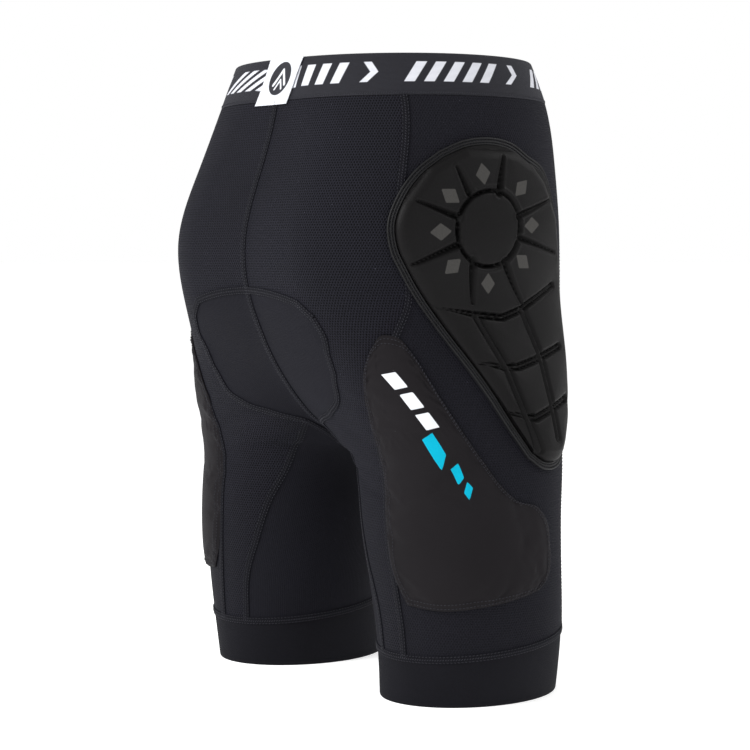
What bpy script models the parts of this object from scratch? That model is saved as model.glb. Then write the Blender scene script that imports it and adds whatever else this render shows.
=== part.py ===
"""Padded impact shorts: a close-fitting short with hip and thigh pads and a saddle gusset.

The wearer faces -Y and the hems stand on z = 0. The wearer's right is -X.
The cloth is laid out on a body form: every place on it has an angle round the leg or hip
(0 outwards, +90 to the back, -90 to the front, 180 inwards) and a level
(0 at the hem, 1 at the crotch, 2 at the top of the waistband).
"""
import math

import bmesh
import bpy
import numpy as np
from mathutils import Vector

# Driving sizes, in metres.
INSEAM = 0.205            # hem to crotch
RISE = 0.325              # crotch to the top of the waistband
WAISTBAND_HEIGHT = 0.035
HEM_HEIGHT = 0.048        # at the outer side of the leg
HEM_TILT = 0.009          # how much deeper the hem is in front than at the side
ARCH_HALF_WIDTH = 0.0225  # half the space between the thighs
ARCH_DROP = 0.050
LEG_TAPER = 0.12          # how fast that space widens towards the hem
SEAT_DROP = 0.090         # how high above the crotch the seat has rounded out
SEAT_DEPTH = 0.94         # depth of the cleft against the fullest seat
WAIST_DEPTH = 0.992       # the same at the top of the waistband
FORM_SHIFT = -0.0121      # puts the origin under the middle of the whole

CLOTH = 0.0010
BAND_CLOTH = 0.0020
HEM_CLOTH = 0.0018
GRIPPER_THICKNESS = 0.0008
GRIPPER_HEIGHT = 0.022
GRIPPER_FROM_HEM = 0.008
SEAM_GAP = 0.0010         # between two cloth pieces that are sewn edge to edge
LAYER_GAP = 0.0008        # between a piece and the one it lies on
PAD_GAP = 0.0018          # under a foam pad, and over the lining inside the gusset

HIP_LINING = 0.0008
HIP_PAD_THICKNESS = 0.0075
HIP_PAD_EDGE = 0.0030
HIP_PAD_INSET = 0.0074    # from the edge of the lining to the edge of the foam
BINDING_WIDTH = 0.0045
BINDING_THICKNESS = 0.0025
HIP_PAD_ANGLE = 11.0      # where the middle of the pad's disc sits
HIP_PAD_LEVEL = 1.563

THIGH_FOAM = 0.0034
THIGH_FOAM_EDGE = 0.0004
THIGH_FOAM_INSET = 0.0088
THIGH_COVER = 0.0008
THIGH_PAD_ANGLE = 45.0
THIGH_PAD_LEVEL = 0.878

CHAMOIS_CLOTH = 0.0012
SIT_PAD_THICKNESS = 0.0060
SIT_PAD_EDGE = 0.0020

LABEL_WIDTH = 0.042
LABEL_SLANT = 0.017
LABEL_SHIFT = -0.004      # its middle sits a little towards the wearer's right
LABEL_THICKNESS = 0.0006
LABEL_OVERHANG = 0.003
CARE_LABEL_WIDTH = 0.030
CARE_LABEL_LENGTH = 0.045
CARE_LABEL_THICKNESS = 0.0005
CARE_LABEL_FROM_CLOTH = 0.0020

# The body form: level, leg centre from the middle, centre towards the back,
# and the distances from that centre outwards, to the back and to the front.
FORM = np.array([
    (0.00, 0.112, -0.006, 0.0660, 0.0830, 0.0790),
    (0.20, 0.115, -0.004, 0.0740, 0.0820, 0.0770),
    (0.50, 0.112, -0.001, 0.0820, 0.0850, 0.0785),
    (0.78, 0.106, -0.001, 0.0850, 0.0880, 0.0840),
    (1.00, 0.101, 0.000, 0.0860, 0.0915, 0.0920),
    (1.11, 0.093, 0.004, 0.0880, 0.1010, 0.1030),
    (1.23, 0.080, 0.003, 0.0905, 0.1190, 0.1170),
    (1.37, 0.0685, 0.002, 0.0930, 0.1410, 0.1270),
    (1.54, 0.065, 0.005, 0.1020, 0.1445, 0.1280),
    (1.72, 0.056, 0.002, 0.1085, 0.1285, 0.1230),
    (1.89, 0.036, -0.003, 0.1195, 0.1160, 0.1165),
    (2.00, 0.016, -0.004, 0.1225, 0.1130, 0.1150),
])

# Seams, as (angle, level) along the right half.
SIDE_BACK = [(44, 1.892), (42, 1.60), (38, 1.385), (48, 1.292), (72, 1.17), (84, 1.015),
             (86, 0.73), (84, 0.20)]
SIDE_FRONT = [(-60, 1.892), (-60, 1.40), (-56, 1.0), (-51, 0.20)]
GUSSET_TOP = [(105, 1.408), (99, 1.402), (91, 1.382), (83, 1.342)]
GUSSET_LOW_BACK = [(83, 1.342), (82, 1.30), (86.5, 1.25), (91, 1.19), (95, 1.14),
                   (104, 1.104), (118, 1.08), (136, 1.06)]
GUSSET_LOW_IN = [(136, 1.06), (150, 1.022), (165, 0.976), (180, 0.937)]
GUSSET_LOW_FRONT_IN = [(180, 0.937), (195, 0.970), (210, 1.018), (228, 1.075)]
GUSSET_LOW_FRONT = [(228, 1.075), (242, 1.120), (255, 1.175)]
INNER_BACK = [(136, 1.06), (132, 0.868), (124, 0.737), (116, 0.556), (109, 0.40), (107, 0.20)]
INNER_FRONT = [(228, 1.075), (236, 0.868), (243, 0.60), (247, 0.20)]
POUCH_EDGE = [(288, 1.892), (286, 1.66), (284, 1.477), (276, 1.29), (255, 1.175)]

# Pad outlines, flat, in metres from the pad's own middle: (towards the back, up).
HIP_PAD = {
    "top": [(0.042, 0.061), (0.022, 0.070), (0.0, 0.073), (-0.022, 0.070), (-0.044, 0.060)],
    "back": [(0.042, 0.061), (0.060, 0.046), (0.075, 0.024), (0.082, 0.002), (0.079, -0.018),
             (0.070, -0.036), (0.044, -0.080), (0.012, -0.134), (-0.004, -0.168), (-0.014, -0.186)],
    "front": [(-0.044, 0.060), (-0.068, 0.050), (-0.086, 0.028), (-0.097, 0.0), (-0.104, -0.036),
              (-0.107, -0.080), (-0.103, -0.120), (-0.092, -0.155), (-0.070, -0.182)],
    "bottom": [(-0.014, -0.186), (-0.027, -0.195), (-0.042, -0.197), (-0.057, -0.193),
               (-0.070, -0.182)],
}
THIGH_PAD = {
    "top": [(0.028, 0.112), (0.014, 0.123), (0.002, 0.120), (-0.004, 0.105)],
    "back": [(0.028, 0.112), (0.042, 0.094), (0.052, 0.072), (0.060, 0.030), (0.061, -0.030),
             (0.057, -0.074), (0.046, -0.096)],
    "front": [(-0.004, 0.105), (-0.013, 0.063), (-0.024, 0.028), (-0.036, 0.004), (-0.052, -0.011),
              (-0.074, -0.018), (-0.085, -0.030), (-0.088, -0.050), (-0.084, -0.072), (-0.070, -0.085)],
    "bottom": [(0.046, -0.096), (0.017, -0.099), (-0.014, -0.096), (-0.048, -0.090), (-0.070, -0.085)],
}

# How finely each seam is divided. Two pieces that share a seam share its points.
ROWS = {"centre": 8, "gusset_top": 4, "low_back": 8, "low_in": 4, "low_front_in": 4,
        "low_front": 4, "inner": 8, "pouch": 16}

RIGHT, LEFT = -1, 1

# A seam runs in degrees and levels: one level counts as about this many degrees of travel.
LEVEL_IN_DEGREES = (1.0, 100.0)

# A piece's middle point times this lies inside the body, so its faces can be turned away from it.
INSIDE = (0.75, 0.0, 1.0)


# ---------------------------------------------------------------- body form

def hermite(xs, ys, x):
    """Smooth curve through the points, with the mean slope of the neighbours at each."""
    xs = np.asarray(xs, float)
    ys = np.asarray(ys, float)
    slope = np.gradient(ys, xs, axis=0)
    i = np.clip(np.searchsorted(xs, x) - 1, 0, len(xs) - 2)
    step = xs[i + 1] - xs[i]
    t = (x - xs[i]) / step
    if ys.ndim > 1:
        step = step[..., None] if np.ndim(step) else step
        t = t[..., None] if np.ndim(t) else t
    return ((2 * t**3 - 3 * t**2 + 1) * ys[i] + (t**3 - 2 * t**2 + t) * step * slope[i]
            + (3 * t**2 - 2 * t**3) * ys[i + 1] + (t**3 - t**2) * step * slope[i + 1])


def arch(x):
    """Quarter of a circle: rises from 0 to 1 as x goes from 0 to 1."""
    return math.sqrt(1 - max(0.0, 1 - x) ** 2)


def height(level):
    """Height above the floor of a level."""
    return INSEAM * min(level, 1.0) + RISE * max(level - 1.0, 0.0)


def level_at(z):
    """Level at a height above the floor."""
    return z / INSEAM if z < INSEAM else 1.0 + (z - INSEAM) / RISE


def centre_angle(level):
    """Angle at which the right half meets the left, at the back (its mirror in front)."""
    rise = RISE * max(level - 1.0, 0.0)
    depth = SEAT_DEPTH * arch(rise / SEAT_DROP) + (WAIST_DEPTH - SEAT_DEPTH) * rise / RISE
    return 180 - math.degrees(math.asin(depth))


def form(side, angle, level):
    """Point on the body form."""
    centre, back_shift, out, back, front = hermite(FORM[:, 0], FORM[:, 1:], level)
    a = math.radians(angle)
    cosine, sine = math.cos(a), math.sin(a)
    if cosine > 0:
        reach = out
    elif level < 1:
        drop = INSEAM * (1 - level)
        reach = centre - ARCH_HALF_WIDTH * arch(drop / ARCH_DROP) - LEG_TAPER * drop
    else:
        reach = centre / max(-math.cos(math.radians(centre_angle(level))), 1e-6)
    x = -centre - reach * cosine
    y = FORM_SHIFT + back_shift + (back if sine > 0 else front) * sine
    return np.array((-side * min(x, 0.0), y, height(level)))


def down_seam(points, levels):
    """A seam that only runs downwards, as pattern points at the given levels."""
    points = np.asarray(points, float)[::-1]
    return np.array([(hermite(points[:, 1], points[:, 0], level), level) for level in levels])


def along(points, count):
    """The same curve, smooth, as count + 1 points evenly spaced in the pattern."""
    points = np.asarray(points, float)
    scale = LEVEL_IN_DEGREES if np.abs(points).max() > 1 else (1.0, 1.0)
    steps = np.hypot(*(np.diff(points, axis=0) * scale).T)
    travel = np.concatenate(([0.0], np.cumsum(steps)))
    return hermite(travel, points, np.linspace(0, travel[-1], count + 1))


def centre_line(top, bottom, count):
    """The centre-back seam between two levels, as pattern points."""
    ease = np.sin(np.linspace(0, math.pi / 2, count + 1)) if bottom <= 1 else np.linspace(0, 1, count + 1)
    levels = top + (bottom - top) * ease
    return np.array([(centre_angle(level), level) for level in levels])


def pin_to_hem(curve):
    """The curve with its last point moved to the top of the hem band."""
    curve = np.array(curve, float)
    curve[-1, 1] = hem_level(curve[-1, 0])
    return curve


def hem_level(angle):
    """Level of the top of the hem band, which is deeper in front."""
    return (HEM_HEIGHT - HEM_TILT * math.sin(math.radians(angle))) / INSEAM


def pin_to_band(curve):
    """The curve with its first point moved to the bottom of the waistband."""
    curve = np.array(curve, float)
    curve[0, 1] = BAND_LEVEL
    return curve


BAND_LEVEL = 2 - WAISTBAND_HEIGHT / RISE


# ---------------------------------------------------------------- patterns

def coons(left, right, top, bottom):
    """Grid of pattern points that fills the space inside four edges."""
    rows, columns = len(left), len(top)
    v = np.linspace(0, 1, rows)[:, None, None]
    u = np.linspace(0, 1, columns)[None, :, None]
    left, right = np.asarray(left)[:, None], np.asarray(right)[:, None]
    top, bottom = np.asarray(top)[None], np.asarray(bottom)[None]
    corners = ((1 - u) * (1 - v) * top[:, :1] + u * (1 - v) * top[:, -1:]
               + (1 - u) * v * bottom[:, :1] + u * v * bottom[:, -1:])
    return (1 - u) * left + u * right + (1 - v) * top + v * bottom - corners


def on_form(side, grid):
    """Pattern grid of (angle, level) laid on the body form."""
    return np.array([[form(side, angle, level) for angle, level in row] for row in grid])


def straight(start, end, count):
    """count + 1 pattern points in a straight line."""
    t = np.linspace(0, 1, count + 1)[:, None]
    return np.asarray(start) * (1 - t) + np.asarray(end) * t


def hem_line(start, end, count):
    """Pattern points along the top of the hem band."""
    return np.array([(a, hem_level(a)) for a in np.linspace(start, end, count + 1)])


def back_panel_grid(columns=8):
    """From the centre-back seam round the gusset and down the inner leg, to the side seam."""
    left = np.concatenate((centre_line(BAND_LEVEL, GUSSET_TOP[0][1], ROWS["centre"])[:-1],
                           gusset_top_edge()[:-1],
                           along(GUSSET_LOW_BACK, ROWS["low_back"])[:-1],
                           along(pin_to_hem(INNER_BACK), ROWS["inner"])))
    right = side_back_rows()
    return coons(left, right, straight(left[0], right[0], columns),
                 hem_line(left[-1][0], right[-1][0], columns))


def side_back_rows():
    """The seam between back and side panels, divided to match what lies across from it."""
    stops = (BAND_LEVEL, 1.39, 1.29, 1.0, hem_level(SIDE_BACK[-1][0]))
    counts = (ROWS["centre"], ROWS["gusset_top"], ROWS["low_back"], ROWS["inner"])
    levels = [np.linspace(a, b, n + 1)[:-1] for a, b, n in zip(stops, stops[1:], counts)]
    return down_seam(SIDE_BACK, np.concatenate(levels + [stops[-1:]]))


def side_panel_grid(columns=8):
    """The outer side of hip and thigh, which carries both pads."""
    left = side_back_rows()
    right = along(pin_to_band(pin_to_hem(SIDE_FRONT)), len(left) - 1)
    return coons(left, right, straight(left[0], right[0], columns),
                 hem_line(left[-1][0], right[-1][0], columns))


def front_panel_grid(columns=6):
    """From the side seam to the pouch and down the front of the inner leg."""
    right = np.concatenate((along(pin_to_band(POUCH_EDGE), ROWS["pouch"])[:-1],
                            along(GUSSET_LOW_FRONT, ROWS["low_front"])[::-1][:-1],
                            along(pin_to_hem(INNER_FRONT), ROWS["inner"])))
    left = along(pin_to_band(pin_to_hem(SIDE_FRONT)), len(right) - 1) + (360, 0)
    return coons(left, right, straight(left[0], right[0], columns),
                 hem_line(left[-1][0], right[-1][0], columns))


def inner_panel_grid():
    """The inner thigh below the gusset."""
    top = np.concatenate((along(GUSSET_LOW_IN, ROWS["low_in"])[:-1],
                          along(GUSSET_LOW_FRONT_IN, ROWS["low_front_in"])))
    left = along(pin_to_hem(INNER_BACK), ROWS["inner"])
    right = along(pin_to_hem(INNER_FRONT), ROWS["inner"])
    return coons(left, right, top, hem_line(left[-1][0], right[-1][0], len(top) - 1))


def gusset_top_edge(count=ROWS["gusset_top"]):
    """The gusset's top edge, from the centre-back seam outwards."""
    edge = along(GUSSET_TOP, count)
    edge[0, 0] = centre_angle(edge[0, 1])
    return edge


def half_gusset_grid(middle, edge, top=None, columns=4):
    """Gusset rows from the middle line out to the edge, bowed at the first row."""
    grid = np.zeros((len(middle), columns + 1, 2))
    for i, (inner, outer) in enumerate(zip(middle, edge)):
        for j in range(columns + 1):
            t = j / columns
            level = inner[1] + t * (outer[1] - inner[1])
            reach = inner[0] / centre_angle(inner[1]) * (1 - t) + outer[0] / centre_angle(outer[1]) * t
            grid[i, j] = (reach * centre_angle(level), level)
    if top is not None:
        fade = np.linspace(1, 0, len(middle))[:, None, None] ** 2
        grid += fade * (np.asarray(top) - grid[0])[None]
    return grid


def gusset_rows(columns=4):
    """Gusset from the seat, through the crotch and up in front, as one grid of pattern points."""
    edge = np.concatenate((along(GUSSET_LOW_BACK, ROWS["low_back"])[:-1],
                           along(GUSSET_LOW_IN, ROWS["low_in"])))
    middle = centre_line(GUSSET_TOP[0][1], 1.0, len(edge) - 1)
    back = half_gusset_grid(middle, edge, gusset_top_edge(columns), columns)
    edge = np.concatenate((along(GUSSET_LOW_FRONT_IN, ROWS["low_front_in"])[:-1],
                           along(GUSSET_LOW_FRONT, ROWS["low_front"])))[::-1]
    edge = np.array([(360 - angle, level) for angle, level in edge])
    middle = centre_line(GUSSET_LOW_FRONT[-1][1], 1.0, len(edge) - 1)
    front = half_gusset_grid(middle, edge, None, columns)[::-1]
    front[:, :, 0] = 360 - front[:, :, 0]
    return np.concatenate((back, front[1:]))


def across_centre(grid_right):
    """Right-half points, mirrored and joined into one piece that crosses the middle."""
    mirrored = grid_right[:, 1:] * np.array((-1, 1, 1))
    return np.concatenate((mirrored[:, ::-1], grid_right), axis=1)


def flat_to_form(side, angle, level, s, t):
    """Flat pad pattern laid on the form: s metres round towards the back, t metres up."""
    here = level_at(height(level) + t)
    angles = np.linspace(angle - 75, angle + 75, 61)
    ring = np.array([form(side, a, here)[:2] for a in angles])
    travel = np.concatenate(([0.0], np.cumsum(np.hypot(*np.diff(ring, axis=0).T))))
    travel -= np.interp(angle, angles, travel)
    return form(side, float(np.interp(s, travel, angles)), here)


def pad_pattern(outline, rows, columns, inset=0.0):
    """Flat grid inside a pad's four edges, drawn in from the outline by inset."""
    grid = coons(along(outline["back"], rows), along(outline["front"], rows),
                 along(outline["top"], columns), along(outline["bottom"], columns))
    return draw_in(grid, inset)


def draw_in(grid, amount):
    """The same grid inside a border that is amount narrower on every side."""
    if amount == 0:
        return grid
    ring = np.concatenate((grid[0, :-1], grid[:-1, -1], grid[-1, :0:-1], grid[:0:-1, 0]))
    ahead, behind = np.roll(ring, -1, axis=0), np.roll(ring, 1, axis=0)
    run = ahead - behind
    normal = np.stack((-run[:, 1], run[:, 0]), axis=1) / np.hypot(*run.T)[:, None]
    if np.sum(normal * (grid.mean(axis=(0, 1)) - ring)) < 0:
        normal = -normal
    moved = ring + normal * amount
    rows, columns = grid.shape[0] - 1, grid.shape[1] - 1
    top, rest = moved[:columns + 1], moved[columns:]
    right, rest = rest[:rows + 1], rest[rows:]
    bottom = rest[:columns + 1][::-1]
    left = np.concatenate((moved[:1], rest[columns:][::-1]))
    return coons(left, right, top, bottom)


def pad_on_form(side, angle, level, grid):
    """Flat pad grid laid on the form."""
    return np.array([[flat_to_form(side, angle, level, s, t) for s, t in row] for row in grid])


# ---------------------------------------------------------------- solids

def finish_material(name, colour, roughness, metallic=0.0):
    """Principled material, made once."""
    material = bpy.data.materials.get(name) or bpy.data.materials.new(name)
    material.use_nodes = True
    shader = material.node_tree.nodes["Principled BSDF"]
    shader.inputs["Base Color"].default_value = (*colour, 1.0)
    shader.inputs["Roughness"].default_value = roughness
    shader.inputs["Metallic"].default_value = metallic
    material.diffuse_color = (*colour, 1.0)
    return material


def inwards(edge, inside, ring):
    """Unit steps from an edge into the piece, square to the edge."""
    if ring:
        run = np.roll(edge[:-1], -1, axis=0) - np.roll(edge[:-1], 1, axis=0)
        run = np.concatenate((run, run[:1]))
    else:
        run = np.gradient(edge, axis=0)
    run /= np.linalg.norm(run, axis=1)[:, None]
    step = inside - edge
    step -= np.sum(step * run, axis=1)[:, None] * run
    return step / np.linalg.norm(step, axis=1)[:, None]


def pull_edges(points, gap, ring, upright):
    """Draws the open edges of a piece inwards by half the seam gap."""
    source = points
    points = points.copy()
    if upright:
        points[0, :, 2] += gap / 2
        points[-1, :, 2] -= gap / 2
        return points
    for edge, inside in ((0, 1), (-1, -2)):
        points[edge] += inwards(source[edge], source[inside], ring) * gap / 2
        if not ring:
            points[:, edge] += inwards(source[:, edge], source[:, inside], ring) * gap / 2
    return points


def slab(name, points, inner, outer, material, ring=False, upright=False, gap=SEAM_GAP):
    """Closed cloth or foam piece on a grid of points, from inner to outer above them.

    inner and outer are distances along the surface normal: one number, or one for each point.
    """
    points = pull_edges(np.asarray(points), gap, ring, upright)
    rows, columns = points.shape[:2]
    inner = np.broadcast_to(inner, (rows, columns))
    outer = np.broadcast_to(outer, (rows, columns))
    bm = bmesh.new()
    bmesh.ops.create_grid(bm, x_segments=columns - 1, y_segments=rows - 1, size=1.0)
    place = bm.verts.layers.int.new("place")
    for vert in bm.verts:
        i = round((vert.co.y + 1) / 2 * (rows - 1))
        j = round((vert.co.x + 1) / 2 * (columns - 1))
        vert[place] = i * columns + (0 if ring and j == columns - 1 else j)
        vert.co = points[i, 0 if ring and j == columns - 1 else j]
    if ring:
        bmesh.ops.remove_doubles(bm, verts=bm.verts[:], dist=1e-6)
    bm.normal_update()
    middle = Vector(points.mean(axis=(0, 1)) * (1.0 if ring else INSIDE))
    if sum(vert.normal.dot(vert.co - middle) for vert in bm.verts) < 0:
        bmesh.ops.reverse_faces(bm, faces=bm.faces[:])
        bm.normal_update()
    normals = {vert[place]: vert.normal.copy() for vert in bm.verts}
    if upright:
        for normal in normals.values():
            normal.z = 0
            normal.normalize()
    result = bmesh.ops.extrude_face_region(bm, geom=bm.faces[:], use_keep_orig=True)
    outside = {item for item in result["geom"] if isinstance(item, bmesh.types.BMVert)}
    for vert in bm.verts:
        index = vert[place]
        table = outer if vert in outside else inner
        vert.co += normals[index] * float(table[index // columns, index % columns])
    bmesh.ops.recalc_face_normals(bm, faces=bm.faces[:])
    mesh = bpy.data.meshes.new(name)
    bm.to_mesh(mesh)
    bm.free()
    mesh.shade_smooth()
    mesh.set_sharp_from_angle(angle=math.radians(40))
    mesh.materials.append(material)
    obj = bpy.data.objects.new(name, mesh)
    PARTS.objects.link(obj)
    return obj


def domed(rows, columns, edge, middle):
    """Height of a pad: edge round its border, middle everywhere else."""
    table = np.full((rows + 1, columns + 1), middle)
    table[0] = table[-1] = edge
    table[:, 0] = table[:, -1] = edge
    return table


def both_sides():
    """The wearer's right and left, with the word that ends a node's name."""
    return ((RIGHT, "right"), (LEFT, "left"))


# ---------------------------------------------------------------- sub-parts

def make_panels(cloth, mesh_cloth):
    """Cloth panels of each leg and half of the seat."""
    for side, word in both_sides():
        slab(f"back_panel_{word}", on_form(side, back_panel_grid()), -CLOTH, 0, mesh_cloth)
        slab(f"side_panel_{word}", on_form(side, side_panel_grid()), -CLOTH, 0, cloth)
        slab(f"front_panel_{word}", on_form(side, front_panel_grid()), -CLOTH, 0, cloth)
        slab(f"inner_thigh_panel_{word}", on_form(side, inner_panel_grid()), -CLOTH, 0, cloth)
        slab(f"seat_gusset_{word}", on_form(side, gusset_rows()), -CLOTH, 0, cloth)


def make_pouch(cloth, half_columns=4):
    """Contoured front panel across the middle, from the waistband to the gusset."""
    rows = ROWS["pouch"]
    edge = along(pin_to_band(POUCH_EDGE), rows)
    grid = np.zeros((rows + 1, half_columns + 1, 2))
    for i, (angle, level) in enumerate(edge):
        middle = 360 - centre_angle(level)
        grid[i] = [(middle + (angle - middle) * t, level) for t in np.linspace(0, 1, half_columns + 1)]
    slab("front_pouch", across_centre(on_form(RIGHT, grid)), -CLOTH, 0, cloth)


def make_waistband(elastic, segments=24):
    """Wide elastic band round the waist."""
    rows = []
    for level in np.linspace(BAND_LEVEL, 2.0, 3):
        reach = centre_angle(level)
        angles = np.linspace(reach, -reach, segments + 1)
        right = [form(RIGHT, angle, level) for angle in angles]
        left = [form(LEFT, angle, level) for angle in angles[::-1]]
        rows.append(right + left[1:])
    points = np.array(rows)
    points[-1, :, 2] += SEAM_GAP / 2  # its top edge meets nothing
    slab("waistband", points, -BAND_CLOTH, 0, elastic, ring=True, upright=True)


def leg_ring(side, levels, segments=32):
    """Rings of points round a leg, at one level or at one level for each angle."""
    angles = np.linspace(0, 360, segments + 1)
    return np.array([[form(side, a, level(a)) for a in angles] for level in levels])


def make_hems(cloth, silicone):
    """Folded hem band round each leg, with a grip strip inside it."""
    low, high = GRIPPER_FROM_HEM / INSEAM, (GRIPPER_FROM_HEM + GRIPPER_HEIGHT) / INSEAM
    for side, word in both_sides():
        points = leg_ring(side, (lambda a: 0.0, lambda a: hem_level(a) / 2, hem_level))
        points[0, :, 2] -= SEAM_GAP / 2  # its lower edge meets nothing
        slab(f"hem_band_{word}", points, -HEM_CLOTH, 0, cloth, ring=True, upright=True)
        points = leg_ring(side, (lambda a: low, lambda a: high))
        top = -HEM_CLOTH - LAYER_GAP
        slab(f"hem_gripper_{word}", points, top - GRIPPER_THICKNESS, top, silicone, ring=True, upright=True)


def make_hip_pads(foam, trim, lining):
    """Moulded hip pad with its lining and the binding sewn round it."""
    rows, columns = 16, 12
    base = LAYER_GAP + HIP_LINING + LAYER_GAP
    for side, word in both_sides():
        flat = pad_pattern(HIP_PAD, 14, 10)
        points = pad_on_form(side, HIP_PAD_ANGLE, HIP_PAD_LEVEL, flat)
        slab(f"hip_pad_lining_{word}", points, LAYER_GAP, LAYER_GAP + HIP_LINING, lining)
        flat = pad_pattern(HIP_PAD, rows, columns, HIP_PAD_INSET)
        points = pad_on_form(side, HIP_PAD_ANGLE, HIP_PAD_LEVEL, flat)
        top = base + domed(rows, columns, HIP_PAD_EDGE, HIP_PAD_THICKNESS)
        slab(f"hip_pad_{word}", points, base, top, foam)
        slab(f"hip_pad_binding_{word}", hip_binding_points(side), base, base + BINDING_THICKNESS, trim,
             ring=True)


def hip_binding_points(side, rows=16, columns=10):
    """Two rings of points: the outline of the hip pad, and the same drawn in."""
    rings = []
    for inset in (BINDING_WIDTH, 0.0):
        grid = pad_pattern(HIP_PAD, rows, columns, inset)
        ring = np.concatenate((grid[0, :-1], grid[:-1, -1], grid[-1, :0:-1], grid[:0:-1, 0]))
        rings.append(np.concatenate((ring, ring[:1])))
    return pad_on_form(side, HIP_PAD_ANGLE, HIP_PAD_LEVEL, np.array(rings))


def make_thigh_pads(foam, cover):
    """Thin thigh pad: a foam slab under a domed cover."""
    rows, columns = 14, 10
    for side, word in both_sides():
        flat = pad_pattern(THIGH_PAD, rows, columns, THIGH_FOAM_INSET)
        points = pad_on_form(side, THIGH_PAD_ANGLE, THIGH_PAD_LEVEL, flat)
        top = PAD_GAP + domed(rows, columns, THIGH_FOAM_EDGE, THIGH_FOAM)
        slab(f"thigh_pad_foam_{word}", points, PAD_GAP, top, foam)
        flat = pad_pattern(THIGH_PAD, rows, columns)
        points = pad_on_form(side, THIGH_PAD_ANGLE, THIGH_PAD_LEVEL, flat)
        under = LAYER_GAP + domed(rows, columns, 0.0, PAD_GAP + THIGH_FOAM)
        slab(f"thigh_pad_cover_{word}", points, under, under + THIGH_COVER, cover)


def make_chamois(cloth, foam):
    """Seat pad inside the gusset: a base cloth, two sit-bone pads and a middle pad."""
    rows = gusset_rows(columns=4)[1:-1, :4]
    base_top = -CLOTH - PAD_GAP
    base_low = base_top - CHAMOIS_CLOTH
    slab("chamois_base", across_centre(on_form(RIGHT, rows)), base_low, base_top, cloth)
    pad_top = base_low - LAYER_GAP
    for side, word in both_sides():
        points = on_form(side, gusset_rows(columns=12)[2:9, 4:10])
        shape = np.array(points.shape[:2]) - 1
        under = pad_top - domed(*shape, SIT_PAD_EDGE, SIT_PAD_THICKNESS)
        slab(f"chamois_sit_pad_{word}", points, under, pad_top, foam)
    points = across_centre(on_form(RIGHT, gusset_rows(columns=8)[11:-5, :3]))
    shape = np.array(points.shape[:2]) - 1
    under = pad_top - domed(*shape, SIT_PAD_EDGE, SIT_PAD_THICKNESS)
    slab("chamois_centre_pad", points, under, pad_top, foam)


def make_waistband_label(cloth, rows=3, columns=4):
    """Slanted tab sewn over the waistband at the centre back."""
    low = BAND_LEVEL - LABEL_OVERHANG / RISE
    reach = centre_angle(low)
    y = max(form(RIGHT, angle, low)[1] for angle in np.linspace(reach - 15, reach, 16))
    grid = []
    for t in np.linspace(0, 1, rows + 1):
        spots = np.linspace(LABEL_WIDTH / 2, -LABEL_WIDTH / 2, columns + 1) + LABEL_SHIFT
        spots = spots - LABEL_SLANT * (t - 0.5)
        grid.append([(s, y, height(low + t * (2 - low))) for s in spots])
    slab("waistband_label", np.array(grid), LAYER_GAP, LAYER_GAP + LABEL_THICKNESS, cloth, gap=0)


def make_care_label(cloth):
    """Loose label that hangs from the waistband seam inside the back. Its origin is its sewn edge."""
    level = BAND_LEVEL
    y = form(RIGHT, centre_angle(level), level)[1] - BAND_CLOTH - CARE_LABEL_FROM_CLOTH
    bpy.ops.mesh.primitive_cube_add(size=1, location=(0, 0, 0))
    obj = bpy.context.object
    obj.name = obj.data.name = "care_label"
    size = (CARE_LABEL_WIDTH, CARE_LABEL_THICKNESS, CARE_LABEL_LENGTH)
    for vert in obj.data.vertices:
        vert.co = [value * length for value, length in zip(vert.co, size)]
        vert.co.z -= CARE_LABEL_LENGTH / 2
    obj.location = (0, y, height(level))
    obj.data.materials.append(cloth)
    for collection in obj.users_collection:
        collection.objects.unlink(obj)
    PARTS.objects.link(obj)


# ---------------------------------------------------------------- model

for old in list(bpy.data.objects):
    bpy.data.objects.remove(old, do_unlink=True)
PARTS = bpy.data.collections.new("padded_impact_shorts")
bpy.context.scene.collection.children.link(PARTS)

black_cloth = finish_material("black_stretch_cloth", (0.018, 0.018, 0.024), 0.75)
black_mesh = finish_material("black_perforated_cloth", (0.022, 0.022, 0.028), 0.8)
navy_elastic = finish_material("woven_elastic", (0.012, 0.012, 0.018), 0.7)
black_foam = finish_material("moulded_foam", (0.014, 0.013, 0.015), 0.55)
grey_cover = finish_material("smooth_pad_cover", (0.030, 0.027, 0.030), 0.6)
white_foam = finish_material("soft_foam", (0.45, 0.46, 0.48), 0.9)
black_trim = finish_material("pad_binding", (0.012, 0.012, 0.014), 0.6)
clear_silicone = finish_material("grip_silicone", (0.05, 0.05, 0.055), 0.35)
white_label = finish_material("label_cloth", (0.80, 0.82, 0.86), 0.6)

make_panels(black_cloth, black_mesh)
make_pouch(black_cloth)
make_waistband(navy_elastic)
make_hems(black_cloth, clear_silicone)
make_hip_pads(black_foam, black_trim, black_cloth)
make_thigh_pads(white_foam, grey_cover)
make_chamois(black_cloth, white_foam)
make_waistband_label(white_label)
make_care_label(white_label)
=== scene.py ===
# %% [markdown]
# # Padded impact shorts
# A close-fitting black short that is worn under snow clothes. It is sewn from stretch panels,
# carries a moulded pad on each hip and a thin one on each thigh, and has a saddle-shaped gusset
# under the seat. This notebook dresses a plain model of it: every cloth panel, seam and pad is
# made again, finely, on one smooth body form.

# %% Load the plain model
import math

import bmesh
import bpy
import numpy as np
from mathutils import Matrix, Vector, noise


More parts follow.
